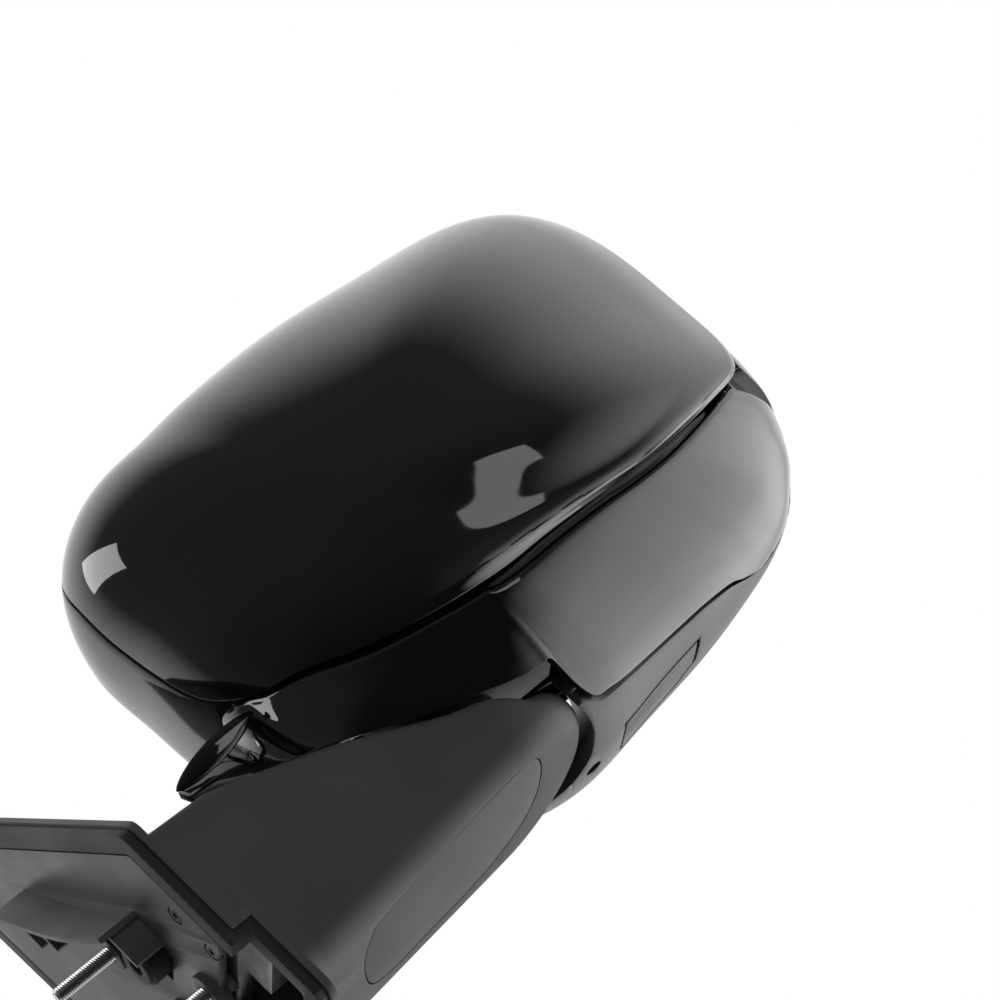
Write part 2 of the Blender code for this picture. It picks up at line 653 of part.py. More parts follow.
# ---- fold unit ----
def tube(name, axis, centre, outer, inner, low, high, look, sides=24, home=None):
    loops = [(outer, low), (outer, high), (inner, high), (inner, low)]
    return round_body(name, axis, centre, loops, look, home, sides, wrap=True)


def build_spring():
    """Compression spring round the post, as a swept wire."""
    turns, steps, wire, radius, low, high = 5, 12, 1.3, 12.0, 12.6, 39.0
    loops = []
    for k in range(turns * steps + 1):
        w = 2 * pi * k / steps
        z = low + (high - low) * k / (turns * steps)
        loop = []
        for q in [2 * pi * j / 6 for j in range(6)]:
            r = radius + wire * cos(q)
            loop.append((AXIS[0] + r * cos(w), AXIS[1] + r * sin(w), z + wire * sin(q)))
        loops.append(loop)
    return loop_body("fold_spring", loops, "steel")


def build_fold():
    """Power fold unit: a cup on the post with spring, gear, worm and motor inside, and a lid."""
    floor = SEAT_Z + 3.4
    tube("detent_plate", 2, AXIS, 16.5, POST_R + 0.4, SEAT_Z + 0.3, SEAT_Z + 3.0, "steel")
    build_spring()
    tube("spring_washer", 2, AXIS, 13.9, POST_R + 0.4, 40.8, 42.4, "steel")
    tube("fold_gear", 2, AXIS, GEAR_R, POST_R + 0.4, 42.8, 49.0, "steel", sides=36)
    tube("post_clip", 2, AXIS, 12.5, POST_R + 0.4, 49.4, 51.4, "steel", sides=16)
    cup = [(23.5, floor), (23.5, floor + 5), (FOLD_R, floor + 6), (FOLD_R, FOLD_TOP)]
    case = round_body("fold_housing", 2, AXIS, cup, "nylon", sides=32)
    pocket = ((124, -15.5, floor + 2.6), (175, 16, FOLD_TOP))
    combine(case, box("fold_pocket", *pocket, home=CUTTERS), "UNION")
    bore = [(FOLD_R - 2.5, floor + 3), (FOLD_R - 2.5, FOLD_TOP + 2)]
    combine(case, round_body("cut_fold_inner", 2, AXIS, bore, home=CUTTERS, sides=32))
    post = [(POST_R + 0.5, -5), (POST_R + 0.5, 20)]
    combine(case, round_body("cut_fold_bore", 2, AXIS, post, home=CUTTERS))
    combine(case, box("cut_pocket", (130, -12.8, floor + 5.6), (172.4, 13.4, FOLD_TOP + 2), home=CUTTERS))
    disc = [(FOLD_R, FOLD_TOP + 0.3), (FOLD_R, FOLD_TOP + 2.8)]
    lid = round_body("fold_lid", 2, AXIS, disc, "nylon", sides=32)
    top = ((124, -15.5, FOLD_TOP + 0.3), (175, 16, FOLD_TOP + 2.8))
    combine(lid, box("lid_pocket", *top, home=CUTTERS), "UNION")
    combine(lid, round_body("cut_lid", 2, AXIS, [(POST_R + 0.5, 50), (POST_R + 0.5, 70)], home=CUTTERS))
    motor = [(10.5, 13), (10.5, 42), (3, 42.4), (1.4, 50), (1.4, 57)]
    round_body("fold_motor", 2, (160, 0.5), motor, "steel", sides=20)
    worm = [(1.6, -12), (1.6, -7), (WORM_R, -6.5), (WORM_R, 10), (1.6, 10.4), (1.6, 13)]
    round_body("fold_worm", 1, (WORM_X, WORM_Z), worm, "steel", sides=12)


# ---- head frame, actuator, glass ----
def glass_outline(share, points=40):
    """Rim outline drawn in round the glass pivot."""
    out = []
    for k in range(points):
        t = 2 * pi * k / points
        r = float(ring(GLASS_PAIRS, t)) * share
        out.append((GLASS_MID[0] + r * cos(t), GLASS_MID[1] + r * sin(t)))
    return out


GLASS = [                        # glass outline, X and Z
    (321, 100), (318, 141), (305, 160), (262, 175), (190, 176), (128, 168), (98, 157), (83, 136), (82, 100),
    (87, 60), (99, 38), (121, 23), (160, 10), (211, 4), (273, 13), (300, 26), (315, 48), (320, 70),
]


def glass_pairs():
    pairs = [(np.degrees(atan2(z - GLASS_MID[1], x - GLASS_MID[0])) % 360,
              np.hypot(x - GLASS_MID[0], z - GLASS_MID[1])) for x, z in GLASS]
    return sorted(pairs)


GLASS_PAIRS = glass_pairs()


def build_frame():
    outline = [(176, 150), (262, 152), (300, 120), (296, 60), (240, 26), (186, 26), (180, 62), (150, 70),
               (102, 70), (100, 112), (140, 120)]
    frame = prism("head_frame", outline, 1, -3.5, 0.0, "cast")
    combine(frame, round_body("cut_frame_mid", 1, GLASS_MID, [(17, -10), (17, 10)], home=CUTTERS))
    combine(frame, prism("cut_frame_out", [(256, 70), (284, 72), (284, 110), (256, 128)], 1, -10, 10,
                         home=CUTTERS))
    combine(frame, prism("cut_frame_in", [(150, 100), (166, 84), (172, 132), (152, 118)], 1, -10, 10,
                         home=CUTTERS))
    tab = box("frame_tab", (101, -17, 66), (166, 22, 71), home=CUTTERS)
    combine(frame, tab, "UNION")
    combine(frame, round_body("cut_frame_post", 2, AXIS, [(11, 60), (11, 80)], home=CUTTERS))
    spots = ((262, 140), (170, 142), (283, 74), (190, 34))
    for k, (x, z) in enumerate(spots):
        combine(frame, round_body(f"frame_post_{k}", 1, (x, z), [(5, -1), (5, 11.6)], home=CUTTERS,
                                  sides=12), "UNION")
        combine(frame, round_body(f"cut_frame_post_{k}", 1, (x, z), [(1.9, -10), (1.9, 20)], home=CUTTERS,
                                  sides=12))


def build_actuator():
    """Round motor box behind the glass: case, lid with the ball, two motors, gears and jack screws."""
    x, z = GLASS_MID
    case = round_body("actuator_case", 1, GLASS_MID, [(36, 0.4), (40, 3), (40, 20)], "nylon", sides=40)
    combine(case, round_body("cut_case", 1, GLASS_MID, [(37.6, 3), (37.6, 24)], home=CUTTERS, sides=40))
    hub = round_body("case_hub", 1, GLASS_MID, [(7, 1), (7, 19.6)], home=CUTTERS, sides=20)
    combine(case, hub, "UNION")
    ball = [(6, BALL_Y - 6), (9.5, BALL_Y - 3), (10.5, BALL_Y), (9.5, BALL_Y + 2.6), (6, BALL_Y + 4)]
    profile = [(40, 20.3), (39, 22.6), (9, 22.8), (6, 23.4)] + ball
    lid = round_body("actuator_lid", 1, GLASS_MID, profile, "nylon", sides=32)
    tip = BALL_Y - 3
    screw = [(2.0, 7), (3.4, 8), (3.4, tip - 3), (2.0, tip - 2), (3.3, tip), (2.0, tip + 2.4)]
    for way, dx, dz in (("v", 0, JACK), ("h", JACK, 0)):
        spot = (x + dx, z + dz)
        hole = [(4.2, 10), (4.2, 30)]
        combine(lid, round_body(f"cut_lid_{way}", 1, spot, hole, home=CUTTERS, sides=16))
        round_body(f"jack_screw_{way}", 1, spot, screw, "white", sides=12)
        tube(f"adjust_gear_{way}", 1, spot, 8.5, 3.9, 10.5, 15.0, "white", sides=20)
    motor_v = [(7.0, x - 27), (7.0, x - 10.5), (1.5, x - 10), (1.5, x - 8.8)]
    round_body("adjust_motor_v", 0, (12.0, z + 17.5), motor_v, "steel", sides=16)
    motor_h = [(7.0, x - 21), (7.0, x + 8), (1.5, x + 8.4), (1.5, x + 16)]
    round_body("adjust_motor_h", 0, (12.0, z - 18.5), motor_h, "steel", sides=16)


def build_glass():
    """Ball socket ring, carrier, heater and glass, from front to back."""
    ring_profile = [(16.5, BALL_Y - 2), (16.5, BALL_Y + 2), (11.6, BALL_Y + 2), (11.6, BALL_Y - 2)]
    round_body("tilt_ring", 1, GLASS_MID, ring_profile, "nylon", sides=32, wrap=True)
    back = GLASS_Y - 5.2
    carrier = prism("glass_carrier", glass_outline(0.97), 1, back, GLASS_Y - 2.8, "nylon")
    boss = [(22, back - 3.4), (22, back + 1.2)]
    combine(carrier, round_body("carrier_boss", 1, GLASS_MID, boss, home=CUTTERS, sides=32), "UNION")
    bore = [(17.1, 20), (17.1, 60)]
    combine(carrier, round_body("cut_carrier", 1, GLASS_MID, bore, home=CUTTERS, sides=32))
    for k, (dx, dz) in enumerate(((0, JACK), (JACK, 0))):
        spot = (GLASS_MID[0] + dx, GLASS_MID[1] + dz)
        hole = [(4.6, 20), (4.6, 60)]
        combine(carrier, round_body(f"cut_socket_{k}", 1, spot, hole, home=CUTTERS, sides=16))
    pad = prism("heater_pad", glass_outline(0.93), 1, GLASS_Y - 2.5, GLASS_Y - 2.1, "rubber")
    combine(pad, round_body("cut_pad", 1, GLASS_MID, [(12, 20), (12, 60)], home=CUTTERS, sides=24))
    return prism("mirror_glass", glass_outline(1.0), 1, GLASS_Y - 1.8, GLASS_Y, "glass")


# ---- joint axes ----
GROUPS = {
    "head_fold_axis": ((*AXIS, 0.0), [
        "cap", "skirt", "pivot_trim", "housing", "underside_hatch", "housing_screw", "fold_housing",
        "fold_lid", "fold_motor", "head_frame", "actuator_case", "actuator_lid", "adjust_motor_v",
        "adjust_motor_h"]),
    "worm_axis": ((WORM_X, 0.0, WORM_Z), ["fold_worm"]),
    "glass_pivot": ((GLASS_MID[0], BALL_Y, GLASS_MID[1]), ["tilt_ring", "glass_carrier", "heater_pad",
                                                           "mirror_glass"]),
    "jack_axis_v": ((GLASS_MID[0], 0.0, GLASS_MID[1] + JACK), ["jack_screw_v", "adjust_gear_v"]),
    "jack_axis_h": ((GLASS_MID[0] + JACK, 0.0, GLASS_MID[1]), ["jack_screw_h", "adjust_gear_h"]),
}


def hang_on_axes():
    """Parents each moving piece to an empty that lies on its joint's axis."""
    for name, (place, pieces) in GROUPS.items():
        empty = bpy.data.objects.new(name, None)
        empty.location = [v / 1000 for v in place]
        empty.empty_display_size = 0.02
        PARTS.objects.link(empty)
        for piece in pieces:
            obj = bpy.data.objects[piece]
            obj.parent = empty
            obj.matrix_parent_inverse = Matrix.Translation(empty.location).inverted()


def own_materials():
    """Gives every piece a material of its own, named after it."""
    for obj in PARTS.objects:
        if obj.type == "MESH":
            own = obj.data.materials[0].copy()
            own.name = obj.name
            obj.data.materials[0] = own


build_cap()
build_skirt()
build_leaf()
build_housing()
build_arm_shell()
cover_patch("arm_cover", 0.4, 0.0, 2.4, "matte")
build_base()
build_sail()
build_foot()
build_fold()
build_frame()
build_actuator()
build_glass()
own_materials()
hang_on_axes()
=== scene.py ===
"""Looks of the car side mirror: fine meshes, materials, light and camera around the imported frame."""
import json
from math import atan2, cos, pi, radians, sin, sqrt

import bmesh
import bpy
import numpy as np
from mathutils import Matrix, Vector


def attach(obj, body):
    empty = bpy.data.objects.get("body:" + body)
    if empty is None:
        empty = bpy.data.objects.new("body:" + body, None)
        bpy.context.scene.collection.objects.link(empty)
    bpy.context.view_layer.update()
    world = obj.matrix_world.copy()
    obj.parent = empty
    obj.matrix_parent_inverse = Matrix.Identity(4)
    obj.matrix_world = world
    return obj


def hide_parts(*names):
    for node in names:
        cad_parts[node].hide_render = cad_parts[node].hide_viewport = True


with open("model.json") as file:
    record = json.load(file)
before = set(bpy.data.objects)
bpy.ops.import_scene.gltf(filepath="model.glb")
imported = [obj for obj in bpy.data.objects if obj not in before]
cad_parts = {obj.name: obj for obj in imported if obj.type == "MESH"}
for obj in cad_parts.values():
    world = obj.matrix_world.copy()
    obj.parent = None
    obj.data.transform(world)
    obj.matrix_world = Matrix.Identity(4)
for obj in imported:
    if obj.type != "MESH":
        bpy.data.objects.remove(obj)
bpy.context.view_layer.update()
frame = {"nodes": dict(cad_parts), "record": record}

NODES = frame["nodes"]
BODY_OF = {n: b for b, names in frame["record"]["behaviour"]["bodies"].items() for n in names}
SLOT_OF = {part["node"]: part["material_slot"] for part in frame["record"]["subparts"]}

# ---- driving dimensions of the part, in millimetres ----
POLE = (141.0, -62.0, 85.0)
RIM_Y = 52.0
RIM = [
    (348, 101), (348, 146), (329.5, 183.3), (257.5, 191.7), (183, 192.1), (122, 178.2), (90, 166.4),
    (69, 143), (68, 105), (71, 65), (78, 34), (95, 10), (122, -8), (160, -20), (211, -15),
    (273, -4), (308, 5), (329, 26), (343, 45), (347, 65),
]
SHARP = [1.61, 1.78, 2.42, 2.78, 3.76, 3.2, 3.2, 2.1]
SWELL = [0.01, 0.022, -0.022, 0.103, 0.06, 0.05, 0.08, 0.03]
CAP_EDGE = [(0, 76), (60, 75), (110, 74), (132, 71), (147, 65.2), (159, 65.5), (168, 65.2), (183, 63.2),
            (192, 60.3), (204, 53.5), (215, 45.5), (229, 39.8), (250, 34.5), (276, 31.5), (296, 32.5),
            (320, 35.8), (335, 43.2), (344, 54), (351, 68)]
CREASE = [(272, 50), (281, 53.5), (284, 58.5), (292, 61.3), (308, 66.8), (315, 69.5), (321, 73.8),
          (324, 78.5), (328, 84), (334, 86.5), (346, 87), (352, 87)]
SEAM = [(33, 34.4), (76, 21.2), (113, 5.5), (148, -4.1), (160, -7.0)]
SKIRT_TOP = [(31, -22, 47), (44, -17, 51), (57, -9, 56), (66, 1, 61), (68, -7, 65.5)]
SKIRT_LOW = [(33, -28, 35.5), (42, -31, 32.5), (51, -33, 29.5), (58, -34, 27.2), (64, -34.5, 25.2)]
LOW_EDGE = [(200, 68), (206, 71.5), (213, 75.5), (221, 80), (229, 86), (237, 94), (245, 104),
            (252, 114), (260, 128)]
HOUSING_EDGE = [(192, 61.1), (198, 69), (205, 77), (215, 87.3), (254, 87.3), (260, 80), (266, 70),
                (272, 61), (278, 58), (281, 57), (284, 60), (292, 62.0), (308, 67.5), (315, 70.2),
                (321, 74.5), (324, 78.95), (328, 84.45), (334, 86.95), (347.4, 87.4), (351, 69.5)]
ARM_LIFT = [(203, 0), (222, 9), (240, 13), (262, 13), (270, 9), (279, 0), (290, 0)]
WALL = 2.5
AXIS = (122.0, 5.0)
ARM_END_R = 40.0
ARM_WALL = 3.0
SEAT_R = 26.0
GLASS_MID = (206.0, 88.0)
BASE = [(-40, -48), (-40, 41), (66, 121), (128, 152), (158, 128), (150, 52), (66, -6), (34, -14), (28, -48)]
BELT_Z = -14.0
BELT_STEP = 8.0
STUDS = [(54, 47), (47, 8), (8, -4)]
FOLD_NOTCH = [(80, 34), (147, 34), (146, 42), (140, 56), (80, 56)]
OUT = np.array([-0.39, -0.86, -0.33])     # the way the beak faces
HEAD_MIDDLE = np.array([206.0, 60.0, 85.0])
STUD_R = 3.0
STUD_OUT = 28.0
FOOT_SCREWS = [(-20, 14), (-20, -4), (25, -3.4)]
LOW_SCREW = (166, 30)


# ---- mesh helpers ----
def scratch(name):
    made = bpy.data.collections.new(name)
    bpy.context.scene.collection.children.link(made)
    return made


WORK = scratch("work")


def mesh_object(name, points, faces):
    """A closed mesh from millimetre points, with doubles merged and normals facing out."""
    mesh = bpy.data.meshes.new(name)
    mesh.from_pydata((np.asarray(points, float) / 1000).tolist(), [], faces)
    shape = bmesh.new()
    shape.from_mesh(mesh)
    bmesh.ops.remove_doubles(shape, verts=shape.verts, dist=2e-6)
    bmesh.ops.dissolve_degenerate(shape, dist=1e-6, edges=shape.edges)
    bmesh.ops.recalc_face_normals(shape, faces=shape.faces)
    if shape.calc_volume(signed=True) < 0:
        bmesh.ops.reverse_faces(shape, faces=shape.faces)
    shape.to_mesh(mesh)
    shape.free()
    obj = bpy.data.objects.new(name, mesh)
    WORK.objects.link(obj)
    return obj


def grid_faces(rows, cols, first=0, wrap=False):
    faces = []
    for i in range(rows if wrap else rows - 1):
        k = (i + 1) % rows
        for j in range(cols - 1):
            faces.append((first + i * cols + j, first + i * cols + j + 1,
                          first + k * cols + j + 1, first + k * cols + j))
    return faces


def loop_body(name, loops, wrap=False):
    """Closed loops of equal length joined in order; the first and last are filled unless they wrap round."""
    count = len(loops[0])
    points = np.concatenate([np.asarray(loop, float) for loop in loops])
    faces = []
    for i in range(len(loops) if wrap else len(loops) - 1):
        k = (i + 1) % len(loops)
        for j in range(count):
            m = (j + 1) % count
            faces.append((i * count + j, i * count + m, k * count + m, k * count + j))
    if not wrap:
        faces.append(tuple(range(count)))
        faces.append(tuple((len(loops) - 1) * count + j for j in range(count)))
    return mesh_object(name, points, faces)


def prism(name, outline, axis, low, high):
    def put(a, b, c):
        return {0: (c, a, b), 1: (a, c, b), 2: (a, b, c)}[axis]
    return loop_body(name, [[put(a, b, low) for a, b in outline], [put(a, b, high) for a, b in outline]])


def round_body(name, axis, centre, profile, sides=48, wrap=False, shape=None):
    """Radius and height pairs turned about an axis; shape(turn, height) is taken off the radius."""
    def put(r, h, t):
        r = r - (shape(t, h) if shape else 0.0)
        a, b = centre[0] + r * cos(t), centre[1] + r * sin(t)
        return {0: (h, a, b), 1: (a, h, b), 2: (a, b, h)}[axis]
    turns = [2 * pi * k / sides for k in range(sides)]
    return loop_body(name, [[put(r, h, t) for t in turns] for r, h in profile], wrap)


def box(name, low, high):
    outline = [(low[0], low[1]), (high[0], low[1]), (high[0], high[1]), (low[0], high[1])]
    return prism(name, outline, 2, low[2], high[2])


def applied(obj):
    """Bakes every modifier into the mesh."""
    bpy.context.view_layer.update()
    graph = bpy.context.evaluated_depsgraph_get()
    mesh = bpy.data.meshes.new_from_object(obj.evaluated_get(graph))
    obj.modifiers.clear()
    obj.data = mesh
    return obj


def combine(obj, other, kind="DIFFERENCE", own=False):
    step = obj.modifiers.new(kind.lower(), "BOOLEAN")
    step.operation = kind
    step.solver = "EXACT"
    step.use_self = own
    step.object = other
    applied(obj)
    bpy.data.objects.remove(other)
    return obj


def main_body(obj):
    """Drops loose slivers beside the main body."""
    shape = bmesh.new()
    shape.from_mesh(obj.data)
    left, groups = set(shape.faces), []
    while left:
        todo, group = [left.pop()], []
        while todo:
            face = todo.pop()
            group.append(face)
            for edge in face.edges:
                for other in edge.link_faces:
                    if other in left:
                        left.discard(other)
                        todo.append(other)
        groups.append(group)
    groups.sort(key=len)
    for group in groups[:-1]:
        bmesh.ops.delete(shape, geom=group, context="FACES")
    bmesh.ops.delete(shape, geom=[v for v in shape.verts if not v.link_faces], context="VERTS")
    shape.to_mesh(obj.data)
    shape.free()
    return obj


def soften(obj, width, angle=32, segments=2):
    """Rounds the sharp edges by width millimetres and shades the rest smooth."""
    if width:
        step = obj.modifiers.new("round", "BEVEL")
        step.width = width / 1000
        step.segments = segments
        step.limit_method = "ANGLE"
        step.angle_limit = radians(angle)
        step.use_clamp_overlap = True
        step.miter_outer = "MITER_ARC"
        applied(obj)
    obj.data.shade_smooth()
    obj.data.set_sharp_from_angle(angle=radians(38))
    return obj


def clean_copy(node):
    """The CAD node's mesh as a piece of its own, with flat faces joined up again."""
    mesh = NODES[node].data.copy()
    shape = bmesh.new()
    shape.from_mesh(mesh)
    bmesh.ops.remove_doubles(shape, verts=shape.verts, dist=3e-6)
    bmesh.ops.dissolve_limit(shape, angle_limit=radians(1.5), verts=shape.verts, edges=shape.edges)
    shape.to_mesh(mesh)
    shape.free()
    mesh.materials.clear()
    obj = bpy.data.objects.new(node + "_fine", mesh)
    WORK.objects.link(obj)
    return obj


def stand_for(obj, node, look):
    """obj takes a CAD node's place: same body, new look."""
    obj.name = node + "_look"
    obj.data.name = obj.name
    obj.data.materials.clear()
    obj.data.materials.append(look)
    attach(obj, BODY_OF[node])
    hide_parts(node)
    return obj


# ---- curves ----
def ring(values, t):
    """Smooth closed curve through (degrees, value) pairs."""
    angle = np.radians([v[0] for v in values])
    value = np.array([v[1] for v in values], float)
    angle = np.concatenate([angle - 2 * pi, angle, angle + 2 * pi])
    value = np.tile(value, 3)
    t = np.asarray(t, float) % (2 * pi)
    i = np.clip(np.searchsorted(angle, t, side="right") - 1, 1, len(angle) - 3)
    before = (value[i + 1] - value[i - 1]) / (angle[i + 1] - angle[i - 1])
    after = (value[i + 2] - value[i]) / (angle[i + 2] - angle[i])
    h = angle[i + 1] - angle[i]
    s = (t - angle[i]) / h
    return ((2 * s**3 - 3 * s**2 + 1) * value[i] + (s**3 - 2 * s**2 + s) * h * before
            + (3 * s**2 - 2 * s**3) * value[i + 1] + (s**3 - s**2) * h * after)


def along(values, x):
    return np.interp(x, [v[0] for v in values], [v[1] for v in values])


def smoothstep(x, low, high):
    s = np.clip((np.asarray(x, float) - low) / (high - low), 0, 1)
    return s * s * (3 - 2 * s)


STEP_DEG = 0.25


def faired(curve, sigma):
    """A closed curve sampled finely and faired over sigma degrees, as a function of the angle in radians."""
    turns = np.arange(0, 360, STEP_DEG)
    value = np.array(curve(np.radians(turns)), float)
    reach = np.arange(-int(4 * sigma / STEP_DEG), int(4 * sigma / STEP_DEG) + 1)
    weight = np.exp(-0.5 * (reach * STEP_DEG / sigma) ** 2)
    weight /= weight.sum()
    value = sum(w * np.roll(value, -k) for k, w in zip(reach, weight))
    turns = np.append(turns, 360)
    value = np.append(value, value[0])
    return lambda t: np.interp(np.degrees(np.asarray(t, float)) % 360, turns, value)


def round_pole(x, z):
    """Degrees round the pole, and the distance from it."""
    dx, dz = x - POLE[0], z - POLE[2]
    return np.degrees(atan2(dz, dx)) % 360, sqrt(dx**2 + dz**2)


def eighths(values):
    return [(45 * k, v) for k, v in enumerate(values)]


RIM_PAIRS = sorted(round_pole(x, z) for x, z in RIM)
rim_radius = faired(lambda t: ring(RIM_PAIRS, t), 4.5)
squareness = faired(lambda t: ring(eighths(SHARP), t), 14.0)
swelling = faired(lambda t: ring(eighths(SWELL), t), 14.0)
cap_edge = faired(lambda t: ring(CAP_EDGE, t), 1.6)


ROUND_TO = 60         # degrees from the pole over which the dome turns from round to its squareness


def head(t, a):
    """Point of the head: t round the pole (0 outboard, 90 up), a from 0 at the pole to 90 at the rim."""
    t = np.asarray(t, float)
    n = squareness(t)
    n = 2.0 + (n - 2.0) * smoothstep(a, 0, ROUND_TO)
    a = np.radians(np.asarray(a, float))
    sa, ca = np.abs(np.sin(a)), np.abs(np.cos(a))
    q = (sa**n + ca**n) ** (-1 / n)
    g, h = sa * q, ca * q
    g = g * (1 + swelling(t) * 4 * h * (1 - h))
    r = rim_radius(t)
    x, y, z = POLE[0] + r * g * np.cos(t), RIM_Y + (POLE[1] - RIM_Y) * h, POLE[2] + r * g * np.sin(t)
    return np.stack([x, y, z], -1)


def head_normal(t, a):
    e = 4e-3
    a = np.asarray(a, float)
    dt = head(t + e, a) - head(t - e, a)
    da = head(t, np.minimum(a + 0.2, 90.0)) - head(t, np.maximum(a - 0.2, 0.05))
    normal = np.cross(dt, da)
    normal /= np.maximum(np.linalg.norm(normal, axis=-1, keepdims=True), 1e-9)
    out = head(t, a) - HEAD_MIDDLE
    return normal * np.where((normal * out).sum(-1, keepdims=True) < 0, -1.0, 1.0)


def head_in(t, a, depth):
    """The head's surface moved in by depth along its normal."""
    depth = np.asarray(depth, float)
    return head(t, a) - head_normal(t, a) * (depth[..., None] if depth.ndim else depth)


def level(t, y):
    n = squareness(t)
    h = (RIM_Y - y) / (RIM_Y - POLE[1])
    g = np.maximum(1 - h**n, 0) ** (1 / n)
    return np.degrees(np.arctan2(g, h))


def finer(grid, times, axis):
    """Catmull-Rom points between the rows of a grid."""
    grid = np.moveaxis(np.asarray(grid, float), axis, 0)
    count = len(grid)
    padded = np.concatenate([2 * grid[:1] - grid[1:2], grid, 2 * grid[-1:] - grid[-2:-1]])
    rows = []
    for k in range(count - 1):
        p0, p1, p2, p3 = padded[k:k + 4]
        for s in np.arange(times) / times:
            rows.append(0.5 * (2 * p1 + (p2 - p0) * s + (2 * p0 - 5 * p1 + 4 * p2 - p3) * s**2
                               + (3 * p1 - p0 - 3 * p2 + p3) * s**3))
    rows.append(grid[-1])
    return np.moveaxis(np.array(rows), 0, axis)


def grid_normal(grid):
    across = np.gradient(grid, axis=0)
    down = np.gradient(grid, axis=1)
    normal = np.cross(across, down)
    return normal / np.maximum(np.linalg.norm(normal, axis=-1, keepdims=True), 1e-9)


def sheet_body(name, outer, inner):
    """Two equal grids closed round their open edges."""
    rows, cols = outer.shape[:2]
    turn = rows * cols
    faces = grid_faces(rows, cols) + grid_faces(rows, cols, turn)
    for i in range(rows - 1):
        for j in (0, cols - 1):
            a, b = i * cols + j, (i + 1) * cols + j
            faces.append((a, b, turn + b, turn + a))
    for i in (0, rows - 1):
        for j in range(cols - 1):
            a, b = i * cols + j, i * cols + j + 1
            faces.append((a, b, turn + b, turn + a))
    return mesh_object(name, np.concatenate([outer.reshape(-1, 3), inner.reshape(-1, 3)]), faces)


# ---- materials ----
def material(name, dark, light, rough, grain=900.0, bump=0.0, patch=18.0, metallic=0.0, coat=0.0, wear=0.0,
             ior=1.5, stretch=(1, 1, 1)):
    """Colour and roughness vary in broad patches; a finer grain gives the bump, and wear lightens the edges.

    dark and light are linear greys or colours, rough is a (low, high) pair, bump is in millimetres."""
    made = bpy.data.materials.new(name)
    made.use_nodes = True
    nodes, links = made.node_tree.nodes, made.node_tree.links
    shader = nodes["Principled BSDF"]
    shader.inputs["Metallic"].default_value = metallic
    shader.inputs["IOR"].default_value = ior
    shader.inputs["Coat Weight"].default_value = coat
    shader.inputs["Coat Roughness"].default_value = 0.03
    place = nodes.new("ShaderNodeTexCoord")
    scale = nodes.new("ShaderNodeMapping")
    scale.inputs["Scale"].default_value = stretch
    links.new(place.outputs["Object"], scale.inputs["Vector"])

    def noise(size, detail):
        made_noise = nodes.new("ShaderNodeTexNoise")
        made_noise.inputs["Scale"].default_value = size
        made_noise.inputs["Detail"].default_value = detail
        links.new(scale.outputs["Vector"], made_noise.inputs["Vector"])
        return made_noise.outputs["Fac"]

    def spread(fac, low, high):
        step = nodes.new("ShaderNodeMapRange")
        step.inputs["From Min"].default_value = 0.3
        step.inputs["From Max"].default_value = 0.7
        step.inputs["To Min"].default_value = low
        step.inputs["To Max"].default_value = high
        links.new(fac, step.inputs["Value"])
        return step.outputs["Result"]

    broad, fine = noise(patch, 3.0), noise(grain, 2.0)
    colour = nodes.new("ShaderNodeMix")
    colour.data_type = "RGBA"
    colour.inputs["A"].default_value = (*dark, 1)
    colour.inputs["B"].default_value = (*light, 1)
    links.new(spread(broad, 0.0, 1.0), colour.inputs["Factor"])
    out = colour.outputs["Result"]
    if wear:
        edge = nodes.new("ShaderNodeNewGeometry")
        ramp = nodes.new("ShaderNodeMapRange")
        ramp.inputs["From Min"].default_value = 0.56
        ramp.inputs["From Max"].default_value = 0.72
        ramp.inputs["To Max"].default_value = wear
        links.new(edge.outputs["Pointiness"], ramp.inputs["Value"])
        worn = nodes.new("ShaderNodeMix")
        worn.data_type = "RGBA"
        worn.inputs["B"].default_value = (*[min(1.0, 3 * v + 0.02) for v in light], 1)
        links.new(ramp.outputs["Result"], worn.inputs["Factor"])
        links.new(out, worn.inputs["A"])
        out = worn.outputs["Result"]
    links.new(out, shader.inputs["Base Color"])
    links.new(spread(broad, *rough), shader.inputs["Roughness"])
    if bump:
        raised = nodes.new("ShaderNodeBump")
        raised.inputs["Strength"].default_value = 1.0
        raised.inputs["Distance"].default_value = bump / 1000
        links.new(fine, raised.inputs["Height"])
        links.new(raised.outputs["Normal"], shader.inputs["Normal"])
    return made


def grey(value, blue=1.0):
    return (value, value, value * blue)


GLOSS = material("gloss_black", grey(0.0024, 1.15), grey(0.0034, 1.2), (0.035, 0.05), grain=160, bump=0.0015,
                 patch=9, coat=0.3)
SATIN = material("satin_black", grey(0.016), grey(0.022), (0.30, 0.40), grain=1500, bump=0.012, wear=0.15)
TEXTURED = material("textured_black", grey(0.040), grey(0.052), (0.50, 0.62), grain=1300, bump=0.05,
                    wear=0.10)
MOULDED = material("moulded_black", grey(0.020), grey(0.030), (0.38, 0.55), grain=900, bump=0.02, wear=0.2)
RUBBER = material("seal_rubber", grey(0.010), grey(0.018), (0.55, 0.75), grain=700, bump=0.03, wear=0.1)
NYLON = material("moulded_nylon", grey(0.030), grey(0.045), (0.42, 0.58), grain=1000, bump=0.02, wear=0.15)
ACETAL = material("acetal", (0.62, 0.61, 0.57), (0.72, 0.71, 0.67), (0.30, 0.42), grain=700, bump=0.008)
CAST = material("die_cast", grey(0.36), grey(0.48), (0.42, 0.60), grain=450, bump=0.04, metallic=1.0)
ZINC = material("zinc_steel", (0.50, 0.51, 0.52), (0.66, 0.66, 0.65), (0.22, 0.38), grain=1200, bump=0.01,
                metallic=1.0)
BLACK_ZINC = material("black_zinc", grey(0.015), grey(0.03), (0.35, 0.5), grain=900, bump=0.01, metallic=0.6)
